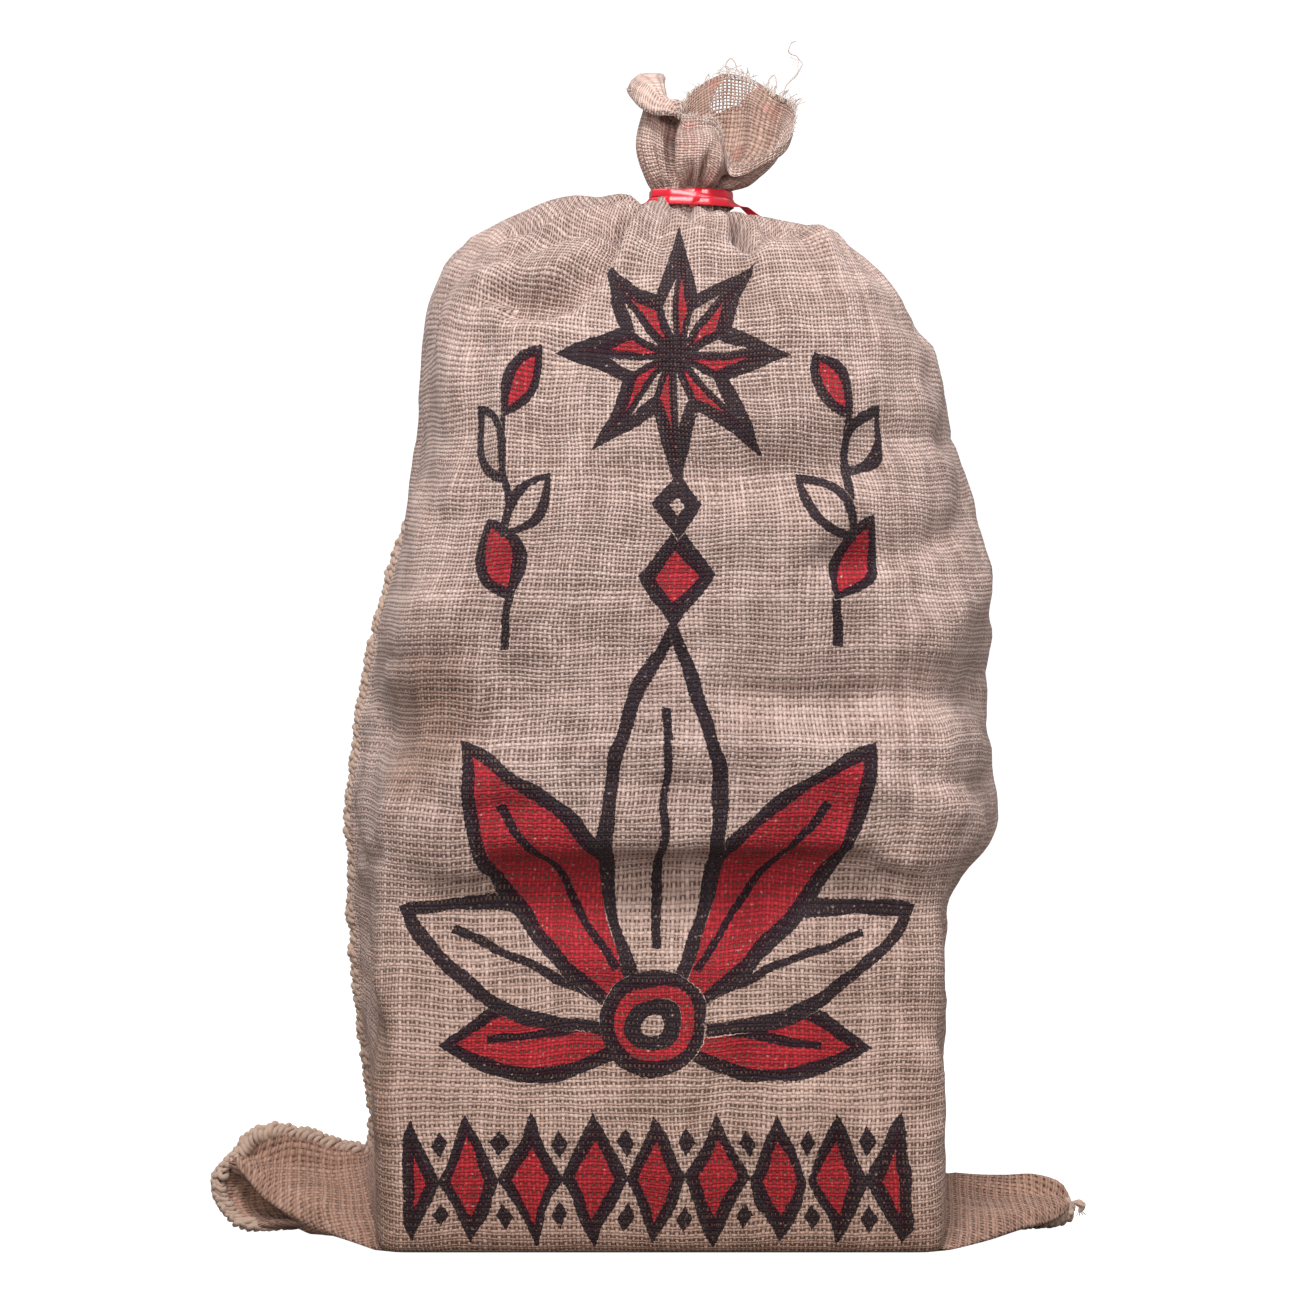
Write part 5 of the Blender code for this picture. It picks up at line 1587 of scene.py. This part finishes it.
LIFTS = table(
    "turn lift",
    (0.00, -0.0008),
    (0.10, 0.0016),
    (0.20, 0.0021),
    (0.60, 0.0019),
    (1.10, 0.0020),
    (1.16, 0.0008),
    (1.26, -0.0026),
    (1.34, -0.0032),
    (1.80, -0.0026),
    (2.10, -0.0030),
    (2.24, -0.0040),
    (2.36, -0.0036),
)
LEFT_TAIL = table(
    "step across up stand",
    (0, 1.226, 0.874, 0.0110),
    (1, 1.214, 0.866, 0.0125),
    (2, 1.198, 0.852, 0.0100),
    (3, 1.182, 0.836, 0.0055),
    (4, 1.170, 0.818, 0.0028),
)
RIGHT_TAIL = table(
    "step across up stand",
    (0, 0.578, 0.874, 0.0055),
    (1, 0.594, 0.865, 0.0048),
    (2, 0.612, 0.852, 0.0040),
    (3, 0.628, 0.836, 0.0032),
    (4, 0.636, 0.818, 0.0028),
)


def round_neck(angle):
    """Give the level way out of the neck at an angle round it."""
    return np.array([math.cos(angle), math.sin(angle), 0.0])


def pulled_straight(angle):
    """Give the radius and the facing of a ribbon pulled straight from pleat to pleat of the neck."""
    turned = (angle - CORNERS[0]) % 360 + CORNERS[0]
    low = max(at for at in CORNERS if at <= turned)
    high = min(at for at in CORNERS if at > turned)
    middle, half = (low + high) / 2, (high - low) / 2
    radius = math.cos(math.radians(half)) / math.cos(math.radians(turned - middle))
    eased = middle + half * ((turned - middle) / half) ** 5
    return radius, math.radians(eased)


def tail_stations(rows):
    """Lay one free end along the top of the sack, from the tie to its tip."""
    stations = []
    for step in np.linspace(0, 4, TAIL_COUNT):
        place = [float(curve(rows, name, step)) for name in ("across", "up", "stand")]
        stations.append(on_cloth(*place))
    return stations


def lay_ribbon(net, stations, wide):
    """Lay a strip along stations, a little cupped over its width."""
    places = np.array([place for place, _ in stations])
    along, gone = run_of(places)
    rows = []
    for here, (_, out), way, far in zip(places, stations, along, gone, strict=True):
        side = np.cross(out, way)
        side /= np.linalg.norm(side)
        lift = np.cross(way, side) * RIBBON_CUPPED
        row = []
        for share in np.linspace(-1, 1, ACROSS_STEPS + 1):
            aside = wide / 2 * share
            row.append((here + side * aside + lift * (1 - share**2), (aside, far)))
        rows.append(row)
    lay_grid(net, rows)


tie_net = bmesh.new()
wound = tail_stations(LEFT_TAIL)[::-1]
for turns in np.linspace(0, TURNS, int(TURNS * RIBBON_STEPS)):
    angle = LEAVES_AT + 360 * turns
    radius, facing = pulled_straight(angle)
    place = round_neck(math.radians(angle)) * ((RIBBON_REACH + turns * TURN_LIES) * radius)
    place += np.array([NECK_X, 0, RIBBON_HIGH + float(curve(LIFTS, "lift", turns))])
    wound.append((place, round_neck(facing)))
wound += tail_stations(RIGHT_TAIL)
lay_ribbon(tie_net, wound, RIBBON_WIDE)
# the knot: a short tight loop of the same ribbon over both turns, at the front
knot_out, knot_aside = round_neck(KNOT_AT), round_neck(KNOT_AT + math.pi / 2)
knot_stations = []
for turn in np.linspace(-KNOT_HALF, KNOT_HALF, KNOT_STATIONS):
    out = RIBBON_REACH - KNOT_SUNK + KNOT_OUT * math.cos(turn / KNOT_ROUND)
    high = RIBBON_HIGH - KNOT_LOW + KNOT_HIGH * math.sin(turn / KNOT_OVER)
    place = knot_out * out + knot_aside * KNOT_ASIDE * turn + np.array([NECK_X, 0, high])
    ahead = knot_out * math.cos(turn * KNOT_FACING) + np.array([0, 0, math.sin(turn * KNOT_FACING)])
    knot_stations.append((place, ahead))
lay_ribbon(tie_net, knot_stations, RIBBON_WIDE * 0.9)
bmesh.ops.recalc_face_normals(tie_net, faces=tie_net.faces)
tie = as_piece("ribbon_tie_wound", tie_net)
film = tie.modifiers.new("ribbon thickness", "SOLIDIFY")
film.thickness = RIBBON_THICK
film.offset = 0

ribbon_finish, tree, shader = new_material("glossy red curling ribbon")
place = add_node(tree, "UVMap", uv_map="UVMap").outputs[0]
ribs = (split(tree, place)[0] * (2 * math.pi / RIB)).to("SINE")
strain_and_glint = noise(tree, place, 160.0)
raised = strain_and_glint * 1.2 + ribs * 0.5
bump = add_node(tree, "Bump", {"Strength": 0.5, "Distance": 0.0003, "Height": raised})
# the reds follow the strain marks and the ribs, and their lighter patches are partly painted highlights
rosy = mix_colours(tree, ribs * 0.18 + strain_and_glint, (0.50, 0.001, 0.008, 1), (0.88, 0.012, 0.045, 1))
finish = {
    "Base Color": rosy,
    "Roughness": 0.35,
    "Coat Weight": 1.0,
    "Coat Roughness": 0.14,
    "Normal": bump.outputs[0],
}
wire(tree, shader, finish)
tie.data.materials.append(ribbon_finish)
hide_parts("ribbon_tie")


# ---------------------------------------------------------------------------------------------
# The floor, the light and the camera: a floor and a room that look white, soft lights over and at
# both sides of the front, weaker ones at the sides and one behind, seen from level with the middle.
CAMERA_AWAY = 2.74
CAMERA_UP = 0.4006
LENS = 110.05
FLOOR_GLOW = 1.05  # only the camera sees it, so the floor looks white and the sack stays dark below
ROOM_LIGHT, ROOM_GLOW = 0.22, 0.88
LIGHTS = (  # place, size and power
    ("key light", (-0.25, -1.25, 2.02), 0.7, 38),
    ("left front light", (-0.95, -2.45, 1.25), 0.6, 15),
    ("right front light", (1.30, -2.30, 1.15), 0.6, 15),
    ("high front light", (0.05, -1.55, 1.20), 0.5, 6),
    ("left light", (-1.50, 0.15, 1.60), 0.7, 6),
    ("right light", (1.50, 0.15, 1.60), 0.7, 11),
    ("rear light", (0.30, 2.40, 1.30), 0.8, 14),
)


def place_object(name, data):
    """Put an object with this data in the scene."""
    made = bpy.data.objects.new(name, data)
    bpy.context.scene.collection.objects.link(made)
    return made


floor_net = bmesh.new()
bmesh.ops.create_grid(floor_net, x_segments=1, y_segments=1, size=30)
floor_data = bpy.data.meshes.new("floor")
floor_net.to_mesh(floor_data)
floor_net.free()
floor = place_object("floor", floor_data)
floor_paint, tree, shader = new_material("pale floor")
seen = Value(tree, add_node(tree, "LightPath").outputs["Is Camera Ray"])
finish = {
    "Base Color": (0.20, 0.18, 0.165, 1),
    "Roughness": 0.9,
    "Emission Color": (1, 1, 1, 1),
    "Emission Strength": seen * FLOOR_GLOW,
}
wire(tree, shader, finish)
floor_data.materials.append(floor_paint)

world = bpy.data.worlds.new("studio")
bpy.context.scene.world = world
world.use_nodes = True
tree = world.node_tree
seen = Value(tree, add_node(tree, "LightPath").outputs["Is Camera Ray"])
room = {"Color": (1, 1, 1, 1), "Strength": seen * ROOM_GLOW + ROOM_LIGHT}
wire(tree, tree.nodes["Background"], room)

for name, stands, size, power in LIGHTS:
    lamp = bpy.data.lights.new(name, "AREA")
    lamp.size = size
    lamp.energy = power
    held = place_object(name, lamp)
    x, y, z = np.array([0, 0, CAMERA_UP]) - np.array(stands)
    held.location = stands
    held.rotation_euler = (math.atan2(math.hypot(x, y), -z), 0, math.atan2(-x, y))

lens = bpy.data.cameras.new("camera")
lens.lens = LENS
lens.sensor_width = 36
camera = place_object("camera", lens)
camera.location = (0, -CAMERA_AWAY, CAMERA_UP)
camera.rotation_euler = (math.pi / 2, 0, 0)
bpy.context.scene.camera = camera
bpy.context.scene.view_settings.view_transform = "Standard"
